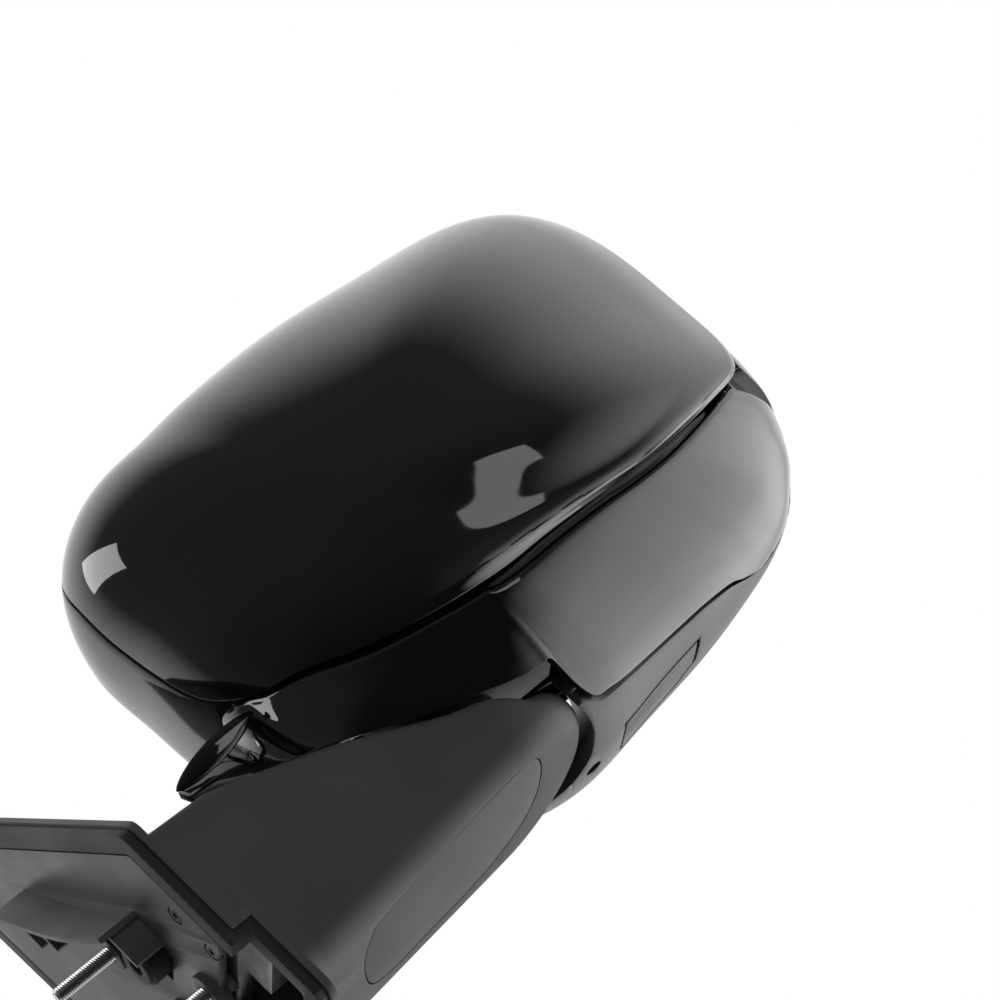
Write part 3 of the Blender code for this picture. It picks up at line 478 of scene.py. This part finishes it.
SPRING = material("spring_steel", grey(0.30), grey(0.40), (0.30, 0.45), grain=1400, bump=0.012, metallic=1.0)
HEATER = material("heater_film", (0.10, 0.055, 0.02), (0.16, 0.09, 0.035), (0.30, 0.45), grain=300, bump=0.02)
MIRROR = material("mirror_coating", (0.86, 0.88, 0.89), (0.90, 0.92, 0.93), (0.006, 0.016), patch=30,
                  metallic=1.0, coat=0.4)


def polished_above(look, level_low, level_high, rough):
    """The housing's band is polished above a level, in metres; the underside keeps its satin."""
    nodes, links = look.node_tree.nodes, look.node_tree.links
    place = nodes.new("ShaderNodeTexCoord")
    split = nodes.new("ShaderNodeSeparateXYZ")
    links.new(place.outputs["Object"], split.inputs[0])
    zone = nodes.new("ShaderNodeMapRange")
    zone.inputs["From Min"].default_value = level_low
    zone.inputs["From Max"].default_value = level_high
    links.new(split.outputs["Z"], zone.inputs["Value"])
    mix = nodes.new("ShaderNodeMix")
    socket = nodes["Principled BSDF"].inputs["Roughness"]
    links.new(zone.outputs["Result"], mix.inputs["Factor"])
    links.new(socket.links[0].from_socket, mix.inputs["A"])
    mix.inputs["B"].default_value = rough
    links.new(mix.outputs["Result"], socket)


HOUSING = material("satin_housing", grey(0.012), grey(0.016), (0.26, 0.36), grain=1500, bump=0.004)
polished_above(HOUSING, 0.018, 0.030, 0.09)
LOOK_OF_SLOT = {"gloss_black": GLOSS, "satin_black": SATIN, "textured_black": TEXTURED,
                "moulded_black": MOULDED, "seal_rubber": RUBBER, "moulded_nylon": NYLON, "acetal": ACETAL,
                "die_cast": CAST, "zinc_steel": ZINC, "spring_steel": SPRING, "heater_film": HEATER,
                "mirror_coating": MIRROR}

for node, obj in NODES.items():
    obj.data.materials.clear()
    obj.data.materials.append(LOOK_OF_SLOT[SLOT_OF[node]])


def finish_piece(obj, node, look=None):
    return stand_for(obj, node, look or LOOK_OF_SLOT[SLOT_OF[node]])


# ---- the head: cap, skirt, trim, housing ----
LIP_FROM, LIP_FULL, LIP_LAST, LIP_TO = 258.0, 288.0, 366.0, 392.0     # degrees round the pole
TIP_FROM, TIP_FULL = 338.0, 356.0
LIP_HIGH, LIP_RIDGE = 4.2, 4.5                                        # mm out, mm back from the edge
TIP_DROP = 3.0                                                        # how much lower the lip is at the tip
LEAF_ENDS = [(29.0, -27.0, 45.5), (71.0, -22.0, 53.5)]
LEAF_LONG, LEAF_HALF, LEAF_BOW = 42, 4.2, 2.2
LEAF_STEPS = [(0.0, 0.2), (0.0, 0.6), (0.25, 0.9), (0.8, 1.1), (2.0, 1.25), (3.2, 1.3)]   # inset, height


def turned(t):
    d = np.degrees(t) % 360
    return np.where(d < 100, d + 360, d)


def lip_rise(t, back):
    """How far the cap flares out, back millimetres from its shut line; the outboard tip flares less."""
    d = turned(t)
    share = smoothstep(d, LIP_FROM, LIP_FULL) * (1 - smoothstep(d, LIP_LAST, LIP_TO))
    tip = smoothstep(d, TIP_FROM, TIP_FULL)
    over = np.maximum(back - LIP_RIDGE, 0)
    climb = np.exp(-over / (3.6 + 5.0 * tip) - (over / 30) ** 2)
    fall = 1 - (0.8 - 0.6 * tip) * smoothstep(LIP_RIDGE - back, 0, LIP_RIDGE)
    return (LIP_HIGH - TIP_DROP * tip) * share * np.where(back > LIP_RIDGE, climb, fall)


def build_cap():
    """The painted shell: the head's front with a flared lip, its edge rounded and turned in."""
    rows, cols, round_r = 288, 72, 0.7
    t = np.linspace(0, 2 * pi, rows, endpoint=False)
    share = 1 - (1 - np.linspace(0, 1, cols)) ** 1.35
    share[0] = 0.008
    edge = cap_edge(t)
    tt = np.repeat(t[:, None], cols, 1)
    aa = edge[:, None] * share[None, :]
    outer = head(tt, aa)
    gaps = np.linalg.norm(np.diff(outer, axis=1), axis=-1)
    back = np.concatenate([np.cumsum(gaps[:, ::-1], axis=1)[:, ::-1], np.zeros((rows, 1))], axis=1)
    outer = outer + head_normal(tt, aa) * lip_rise(tt, back)[..., None]
    closed = np.concatenate([outer[-1:], outer, outer[:1]])
    normal = grid_normal(closed)[1:-1]
    away = outer - HEAD_MIDDLE
    normal *= np.where((normal * away).sum(-1, keepdims=True) < 0, -1.0, 1.0)
    way = outer[:, -1] - outer[:, -2]
    way /= np.linalg.norm(way, axis=-1, keepdims=True)
    start, out = outer[:, -1] - way * round_r, normal[:, -1]
    turn_pts = [start + way * round_r * sin(w) - out * round_r * (1 - cos(w))
                for w in np.radians((30, 60, 90))]
    turn_pts += [turn_pts[-1] - out * (WALL - 2 * round_r)]
    keep = back[0] > round_r * 1.4
    inner = outer - normal * WALL
    sheet = np.concatenate([outer[:, keep], np.stack([start] + turn_pts, 1), inner[:, keep][:, ::-1]], axis=1)
    count = sheet.shape[1]
    faces = grid_faces(rows, count, 0, True)
    faces.append(tuple(i * count for i in range(rows)))
    faces.append(tuple(i * count + count - 1 for i in range(rows)))
    return mesh_object("cap", sheet.reshape(-1, 3), faces)


def skirt_grid():
    share = np.array([-0.06, 0.035, 0.07, 0.22, 0.4, 0.6, 0.8, 0.92, 1.0])
    tuck = np.array([4.0, 2.6, 1.0, 0.9, 0.8, 0.6, 0.4, 0.2, 0.0])
    columns = []
    for top, low in zip(SKIRT_TOP, SKIRT_LOW):
        top, low = np.array(top, float), np.array(low, float)
        v = np.clip(share, 0, 1)[:, None]
        swell = 1.0 + 0.09 * np.linalg.norm(top - low)
        columns.append(top * (1 - v) + low * v + OUT * (swell * np.sin(pi * v)))
    for d in (200, 206, 213, 221, 229, 237, 245, 252, 260, 267, 273, 277, 279.6, 281.2, 284, 288, 292, 300,
              308, 315, 321, 324, 328, 334, 340, 344, 347):
        t = radians(d)
        start = float(cap_edge(t)) + 0.6
        end = 47.6
        if d < 264:
            end = max(57 - (d - 224) * 0.28, start + 4)
        elif d >= 280:
            end = float(along(CREASE, d)) - 0.35
        aa = start + (end - start) * share
        column = head_in(t + 0 * aa, aa, tuck)
        if d < 264:
            x = float(along(LOW_EDGE, d))
            low = np.array([x, -34.5, float(along(SEAM, x))])
            column = column + (np.clip(share, 0, 1)[:, None] ** 1.5) * (low - column[-1])
        columns.append(column)
    return np.array(columns)


def build_skirt():
    """The lower front panel, cut round the arm's end."""
    outer = finer(finer(skirt_grid(), 7, 0), 4, 1)
    normal = grid_normal(outer)
    normal *= np.where((normal * OUT).sum(-1, keepdims=True) < 0, -1.0, 1.0)
    skirt = sheet_body("skirt", outer, outer - normal * WALL)
    combine(skirt, round_body("nose", 2, AXIS, [(41.2, -60), (41.2, -8.5)], sides=180))
    return soften(main_body(skirt), 0.5, 50)


def build_leaf():
    """A pointed trim leaf on the beak, bowed along its length and crowned across it."""
    a, b = np.array(LEAF_ENDS)
    wide = np.cross(b - a, OUT)
    wide /= np.linalg.norm(wide)
    loops = []
    for inset, lift in LEAF_STEPS:
        loop = []
        for k in range(72):
            w = 2 * pi * k / 72
            s = 0.5 - 0.5 * cos(w)
            half = max(LEAF_HALF * abs(sin(w)) ** 1.3 - inset * abs(sin(w)), 0.02)
            s = inset / LEAF_LONG + s * (1 - 2 * inset / LEAF_LONG)
            rise = lift + LEAF_BOW * sin(pi * s)
            loop.append(a + (b - a) * s + wide * half * np.sign(sin(w)) + OUT * rise)
        loops.append(loop)
    return soften(loop_body("leaf", loops), 0)


def raw_edge(d):
    """Where the housing begins, in degrees from the pole: just behind the cap, or along the skirt."""
    if d <= 192 or d >= 351:
        return float(ring(CAP_EDGE, radians(d))) + (0.8 if 60 < d < 200 else 1.35)
    return float(along(HOUSING_EDGE, d))


housing_edge = faired(lambda t: [raw_edge(d) for d in np.degrees(t)], 0.9)


def housing_loop(d):
    """One cross-section of the housing: outer band, rim bead, bowl wall, flange and back."""
    t = radians(d)
    start = float(housing_edge(t))
    y_start = float(head(t, start)[1])
    mid = np.array([GLASS_MID[0], 0.0, GLASS_MID[1]])

    def inset(y, by):
        a = float(level(t, y))
        p = head(t, a)
        way = mid - p
        way[1] = 0
        way /= np.linalg.norm(way)
        lean = float((p - head_in(t, a, 1.0)) @ -way)
        p = p + way * by / max(lean, 0.5)
        p[1] = y
        return p
    flange = 4.0 if 205 < d < 300 else 15.0
    lift = float(along(ARM_LIFT, d))
    back = min(12.0, y_start - (1.0 if 266 < d < 330 else 3.5))
    shares = np.array([0.0, 0.1, 0.25, 0.45, 0.65, 0.8, 0.92, 1.0])
    pts = [head(t, start + (89.9 - start) * s) for s in shares]
    rim = inset(51.6, 2.2)
    pts += [inset(51.8, 0.5) + (0, 0.5, 0), inset(51.8, 1.3) + (0, 1.0, 0), rim + (0, 1.2, 0),
            inset(51.6, 3.2) + (0, 0.9, 0), inset(51.4, 4.0) + (0, 0.2, 0), inset(50.6, 4.7)]
    pts += [inset(48.0, 5.6 + 0.2 * lift), inset(45.0, 6.6 + 0.5 * lift), inset(40.0, 6.9 + 0.75 * lift)]
    pts += [inset(30.0, 7.2 + lift), inset(back + 2.5, 7.6 + lift)]
    pts += [inset(back + 2.5, 7.6 + lift + flange), inset(back, 7.6 + lift + flange)]
    ys = np.linspace(back, y_start, 4)
    pts += [inset(y, 4.8 + more) for y, more in zip(ys, lift * np.clip((50 - ys) / 20, 0, 1))]
    return np.array(pts)


HATCH = [(290.5, 73.0), (296, 73.8), (302, 74.6), (308, 75.6), (313, 76.6), (312.5, 84), (308, 86.0),
         (302, 86.2), (296, 86.2), (292.5, 86.0), (291, 80)]      # degrees round the pole and from it


def surface_patch(name, outline, depths):
    """A patch of the head's surface, its outline run finely, at several depths."""
    pts = []
    for (d0, a0), (d1, a1) in zip(outline, outline[1:] + outline[:1]):
        pts += [(d0 + (d1 - d0) * s, a0 + (a1 - a0) * s) for s in (0, 0.25, 0.5, 0.75)]
    return loop_body(name, [[head_in(radians(d), a, depth) for d, a in pts] for depth in depths])


def shrink(outline, by):
    mid = np.mean(outline, axis=0)
    span = np.ptp(outline, axis=0) / 2
    return [tuple(mid + (np.array(p) - mid) * (1 - by / span)) for p in outline]


def build_housing():
    """The rear shell with its bowl, cut for the fold unit, the arm, the hatch and the screw."""
    stops = [d for low, high, step in ((0, 192, 2.0), (192, 345, 1.5), (345, 360, 0.6))
             for d in np.arange(low, high, step)]
    housing = loop_body("housing", [housing_loop(d) for d in stops], wrap=True)
    combine(housing, round_body("fold", 2, AXIS, [(41.4, -60), (41.4, -4.2), (28.5, 1.5), (28.5, 80)],
                                sides=180), own=True)
    combine(housing, prism("notch", FOLD_NOTCH, 2, -60, -8.0), own=True)
    combine(housing, surface_patch("hatch", HATCH, (-4.0, 3.0)), own=True)
    combine(housing, round_body("screw", 2, LOW_SCREW, [(3.6, -40), (3.6, -10)], sides=24), own=True)
    return soften(main_body(housing), 0.35, 40)


def build_hatch():
    return soften(surface_patch("hatch_panel", shrink(HATCH, 0.75), (0.0, 1.4)), 0.3, 50)


# ---- arm and base ----
def arm_low(x):
    return -26.5 - (122 - x) * 0.11


def arm_high(x, y):
    dip = 3.5 * np.clip((y + 34.5) / 5, 0, 1) * np.clip((x - 64) / 14, 0, 1)
    return max(float(along(SEAM, x)) + 1.5 - 0.5 * (y + 35) - float(dip), arm_low(x) + 17.5)


def arm_outline(inset=0.0):
    """Plan outline from the base, round the outboard end and back, as points and the middle point of each."""
    r = ARM_END_R - inset
    xs = (5, 13, 22, 31, 40, 49, 58, 67, 76, 85, 94, 101, 108, 115)
    front = [(x, -40 + (x - 5) * 0.045 + inset) for x in xs]
    nose = [(AXIS[0] + r * cos(w), AXIS[1] + r * sin(w)) for w in np.radians(np.linspace(-90, 90, 46))]
    rear = [(x, 38 + (x - 5) * 0.06 - inset) for x in reversed(xs)]
    return ([(p, (p[0], 0.0)) for p in front] + [(p, (AXIS[0], 3.0)) for p in nose]
            + [(p, (p[0], 0.0)) for p in rear])


def arm_loops(inset=0.0, root=5.0, low_round=9.0, high_round=7.0):
    """Stacked closed outlines from the underside to the top, with both edges rounded."""
    turns = np.radians(np.linspace(0, 90, 9))
    steps = [(low_round * (1 - sin(w)), low_round * (1 - cos(w)), 0) for w in turns]
    steps += [(high_round * (1 - sin(w)), high_round * (1 - cos(w)), 1) for w in reversed(turns)]
    loops = []
    for pull, rise, top in [(30, 0, 0)] + steps + [(22, 0, 1)]:
        loop = []
        for (x, y), (mx, my) in arm_outline(inset):
            far = max(sqrt((x - mx)**2 + (y - my)**2), 1)
            share = min(pull / far, 1)
            px, py = x + (mx - x) * share, y + (my - y) * share
            px = root if abs(x - 5) < 0.1 else px
            low, high = arm_low(px) + inset, arm_high(px, py) - inset
            loop.append((px, py, high - rise if top else low + min(rise, high - low - 0.5)))
        loops.append(loop)
    return loops


def base_outline(inset, steps=7):
    """Base outline moved in by inset, with rounded corners."""
    pts = [np.array(p, float) for p in BASE]
    out = []
    for i, p in enumerate(pts):
        a, b = pts[i - 1] - p, pts[(i + 1) % len(pts)] - p
        a, b = a / np.linalg.norm(a), b / np.linalg.norm(b)
        half = np.arccos(np.clip(a @ b, -1, 1)) / 2
        way = (a + b) / np.linalg.norm(a + b)
        way = way if a[0] * b[1] - a[1] * b[0] > 0 else -way
        corner = p + way * inset / np.sin(half)
        cut = min(max(7 - inset * 0.5, 2) / np.tan(half), 12)
        for s in np.linspace(0, 1, steps):
            q = (1 - s)**2 * (corner + a * cut) + 2 * s * (1 - s) * corner + s**2 * (corner + b * cut)
            out.append(tuple(q))
    return out


def clip(outline, z, keep_above):
    out = []
    sign = 1 if keep_above else -1
    for i, p in enumerate(outline):
        q = outline[(i + 1) % len(outline)]
        pin, qin = (p[1] - z) * sign >= 0, (q[1] - z) * sign >= 0
        if pin:
            out.append(p)
        if pin != qin:
            s = (z - p[1]) / (q[1] - p[1])
            out.append((p[0] + (q[0] - p[0]) * s, z))
    return out


def stepped(name, inset, x0, x1):
    """A plate in the base outline whose lower part sits one belt step further outboard."""
    outline = base_outline(inset)
    thick = x1 - x0
    floor = BELT_Z + x0
    upper = prism(name, clip(outline, floor, True), 0, x0, x1)
    lower = prism(name + "_lower", clip(outline, floor + thick, False), 0, x0 + BELT_STEP, x1 + BELT_STEP)
    ys = [p[0] for p in clip(outline, floor, False) if p[1] > floor - 8]
    web = box(name + "_web", (x0 + 0.02, min(ys) + 0.02, floor - 0.01),
              (x1 + BELT_STEP - 0.02, max(ys) - 0.3, floor + thick - 0.02))
    combine(upper, lower, "UNION")
    return combine(upper, web, "UNION")


COVER = [(44, -24), (58, -27), (76, -27.5), (94, -28), (108, -28), (121, -27), (130, -22), (134, -8),
         (133, 8), (126, 20), (112, 27), (94, 29), (76, 28), (58, 27), (46, 22), (41, 8), (40, -10)]


def cover_patch(name, shrink_by, heights):
    """A plate that follows the underside of the arm, its corners rounded."""
    outline = finer(np.array(shrink(COVER, shrink_by) + shrink(COVER, shrink_by)[:1]), 4, 0)[:-1]
    return loop_body(name, [[(x, y, arm_low(x) + h) for x, y in outline] for h in heights])


def build_arm():
    """The hollow arm with its flange, cut for the belt step, studs, seat and underside cover."""
    arm = loop_body("arm", arm_loops())
    combine(arm, stepped("flange", 0.0, 4.3, 7.0), "UNION")
    combine(arm, loop_body("hollow", arm_loops(ARM_WALL, 2.0, 6.0, 4.0)))
    combine(arm, box("step", (2.0, -60, -60), (BELT_STEP + 4.25, 60, BELT_Z + 4.2)))
    for k, (y, z) in enumerate(STUDS[:2]):
        combine(arm, round_body(f"stud_{k}", 0, (y, z), [(5.5, 3), (5.5, 8)], sides=32))
    combine(arm, round_body("seat", 2, AXIS, [(SEAT_R + 1.0, -18), (SEAT_R + 1.0, 30)], sides=64))
    combine(arm, cover_patch("cover", 0.0, (-6.0, 4.5)))
    return soften(main_body(arm), 0.6, 32, 3)


def thread(pitch, depth):
    """A 60 degree screw thread as a change of radius."""
    def cut(turn, height):
        phase = (height / pitch - turn / (2 * pi)) % 1.0
        return depth * abs(2 * phase - 1) ** 0.8
    return cut


def build_stud(k):
    """An M6 stud, tapered over its first millimetre, its thread run out at the boss."""
    step, threaded, tip_steps = 0.125, 30, 8
    rod = []
    for i in range(int(threaded / step)):
        taper = min(1.0, 0.72 + 0.28 * i / tip_steps)
        rod.append((STUD_R * taper, -STUD_OUT + step * i))
    rod += [(STUD_R, 3.6), (5.0, 4.0), (5.0, 6.9)]
    groove = thread(1.0, 0.55)

    def cut(turn, height):
        return groove(turn, height) * float(smoothstep(height, 1.2, 0.2))
    return soften(round_body(f"stud_{k}", 0, STUDS[k], rod, 32, shape=cut), 0)


def build_screw(node, axis, centre, profile, top):
    """A pan-head screw with a six-lobed recess in its head, which faces down its axis at top."""
    screw = round_body(node, axis, centre, profile, 32)
    lobes = [(1.25 + 0.32 * cos(6 * w), w) for w in np.linspace(0, 2 * pi, 48, endpoint=False)]
    loops = []
    for h in (top - 1.0, top + 1.1):
        pts = [(centre[0] + r * cos(w), centre[1] + r * sin(w)) for r, w in lobes]
        loops.append([{0: (h, a, b), 1: (a, h, b), 2: (a, b, h)}[axis] for a, b in pts])
    return soften(combine(screw, loop_body(node + "_recess", loops)), 0.15, 50)


finish_piece(soften(build_cap(), 0), "cap")
finish_piece(build_skirt(), "skirt")
finish_piece(build_leaf(), "pivot_trim")
finish_piece(build_housing(), "housing", HOUSING)
finish_piece(build_hatch(), "underside_hatch")
finish_piece(build_arm(), "arm_shell")
finish_piece(soften(cover_patch("cover_plate", 0.4, (0.0, 2.4)), 0.5, 40, 3), "arm_cover")
for node, width in (("base_gasket", 0.5), ("base_plate", 0.5), ("sail_panel", 0.5), ("pivot_foot", 0.5),
                    ("harness_grommet", 0.4), ("fold_housing", 0.6), ("fold_lid", 0.4), ("head_frame", 0.5),
                    ("actuator_case", 0.5), ("actuator_lid", 0.3), ("glass_carrier", 0.5),
                    ("mirror_glass", 0.35)):
    finish_piece(soften(clean_copy(node), width), node)
for k in range(3):
    finish_piece(build_stud(k), f"mounting_stud_{k + 1}")
for k, spot in enumerate(FOOT_SCREWS):
    profile = [(2.8, 0.1), (3.4, 0.6), (3.4, 2.1), (2.1, 2.2), (2.1, 11.0)]
    finish_piece(build_screw(f"screw_{k}", 0, spot, profile, 0.1), f"foot_screw_{k + 1}", BLACK_ZINC)
low_profile = [(2.2, -21.5), (2.6, -21), (2.6, -19), (1.3, -18.6), (1.3, -8)]
finish_piece(build_screw("screw_low", 2, LOW_SCREW, low_profile, -21.5), "housing_screw")


# ---- world, light, floor, camera ----
def build_world():
    """White to the camera; reflections see a bright wall behind the object and dim light in front."""
    world = bpy.data.worlds.new("studio")
    bpy.context.scene.world = world
    world.use_nodes = True
    nodes, links = world.node_tree.nodes, world.node_tree.links
    place = nodes.new("ShaderNodeTexCoord")
    dot = nodes.new("ShaderNodeVectorMath")
    dot.operation = "DOT_PRODUCT"
    dot.inputs[1].default_value = Vector((0.5, 0.85, 0.15)).normalized()
    links.new(place.outputs["Generated"], dot.inputs[0])
    split = nodes.new("ShaderNodeSeparateXYZ")
    links.new(place.outputs["Generated"], split.inputs[0])

    def ramp(source, low, high, to_low, to_high):
        step = nodes.new("ShaderNodeMapRange")
        step.interpolation_type = "SMOOTHSTEP"
        for name, value in (("From Min", low), ("From Max", high), ("To Min", to_low), ("To Max", to_high)):
            step.inputs[name].default_value = value
        links.new(source, step.inputs["Value"])
        return step.outputs["Result"]
    wall = ramp(dot.outputs["Value"], -0.15, 0.5, 0.0, 0.95)
    front = ramp(split.outputs["Z"], -0.35, 0.35, 0.03, 0.16)
    low = nodes.new("ShaderNodeVectorMath")
    low.operation = "DOT_PRODUCT"
    low.inputs[1].default_value = Vector((0.80, 0.14, -0.58)).normalized()
    links.new(place.outputs["Generated"], low.inputs[0])
    side = ramp(low.outputs["Value"], 0.50, 0.95, 0.0, 2.4)
    most = nodes.new("ShaderNodeMath")
    most.operation = "MAXIMUM"
    links.new(wall, most.inputs[0])
    links.new(front, most.inputs[1])
    brightest = nodes.new("ShaderNodeMath")
    brightest.operation = "MAXIMUM"
    links.new(most.outputs[0], brightest.inputs[0])
    links.new(side, brightest.inputs[1])
    path = nodes.new("ShaderNodeLightPath")
    mix = nodes.new("ShaderNodeMix")
    mix.inputs["B"].default_value = 1.0
    links.new(path.outputs["Is Camera Ray"], mix.inputs["Factor"])
    links.new(brightest.outputs[0], mix.inputs["A"])
    links.new(mix.outputs["Result"], nodes["Background"].inputs["Strength"])
    nodes["Background"].inputs["Color"].default_value = (1, 1, 1, 1)


MIDDLE = Vector((0.19, 0.0, 0.075))


def softbox(name, azimuth, elevation, distance, width, height, radiance, glossy=True):
    """A rectangular light that faces the object; azimuth 0 is in front, positive outboard."""
    az, el = radians(azimuth), radians(elevation)
    way = Vector((sin(az) * cos(el), -cos(az) * cos(el), sin(el)))
    data = bpy.data.lights.new(name, "AREA")
    data.shape = "RECTANGLE"
    data.size, data.size_y = width, height
    data.energy = radiance * pi * width * height
    lamp = bpy.data.objects.new(name, data)
    lamp.location = MIDDLE + way * distance
    lamp.rotation_euler = way.to_track_quat("Z", "Y").to_euler()
    lamp.visible_glossy = glossy
    lamp.visible_camera = False
    bpy.context.scene.collection.objects.link(lamp)
    return lamp


def build_floor():
    """A plain pale floor, in metres, well below the part and out of its reflections."""
    mesh = bpy.data.meshes.new("floor")
    half, level_z = 3.0, -0.55
    corners = [(-half, -half), (half, -half), (half, half), (-half, half)]
    mesh.from_pydata([(x, y, level_z) for x, y in corners], [], [(0, 1, 2, 3)])
    floor = bpy.data.objects.new("floor", mesh)
    bpy.context.scene.collection.objects.link(floor)
    pale = material("pale_floor", grey(0.72), grey(0.76), (0.6, 0.7), grain=60, bump=0.1, patch=2)
    mesh.materials.append(pale)
    floor.visible_glossy = False


def build_camera():
    """Looks up at the front of the mirror from below and inboard, rolled."""
    a, e, roll = radians(-25), radians(-22), radians(47.9)
    back = Vector((sin(a) * cos(e), -cos(a) * cos(e), sin(e)))
    right = Vector((cos(a), sin(a), 0))
    up = back.cross(right)
    x_axis = right * cos(roll) - up * sin(roll)
    y_axis = right * sin(roll) + up * cos(roll)
    data = bpy.data.cameras.new("camera")
    data.lens, data.sensor_width = 110, 36
    data.shift_x, data.shift_y = 0.144, 0.091
    camera = bpy.data.objects.new("camera", data)
    turn = Matrix((x_axis, y_axis, back)).transposed().to_4x4()
    camera.matrix_world = Matrix.Translation(Vector((0.141, 0, 0.075)) + back * 1.1) @ turn
    bpy.context.scene.collection.objects.link(camera)
    bpy.context.scene.camera = camera


build_world()
softbox("window", 40, -6.5, 1.6, 0.30, 0.26, 2.0)
softbox("corner", -105, 44, 1.6, 0.95, 0.6, 4.0)
softbox("front_fill", -30, 10, 1.8, 1.6, 1.4, 1.1, glossy=False)
build_floor()
build_camera()
bpy.context.scene.view_settings.view_transform = "Standard"
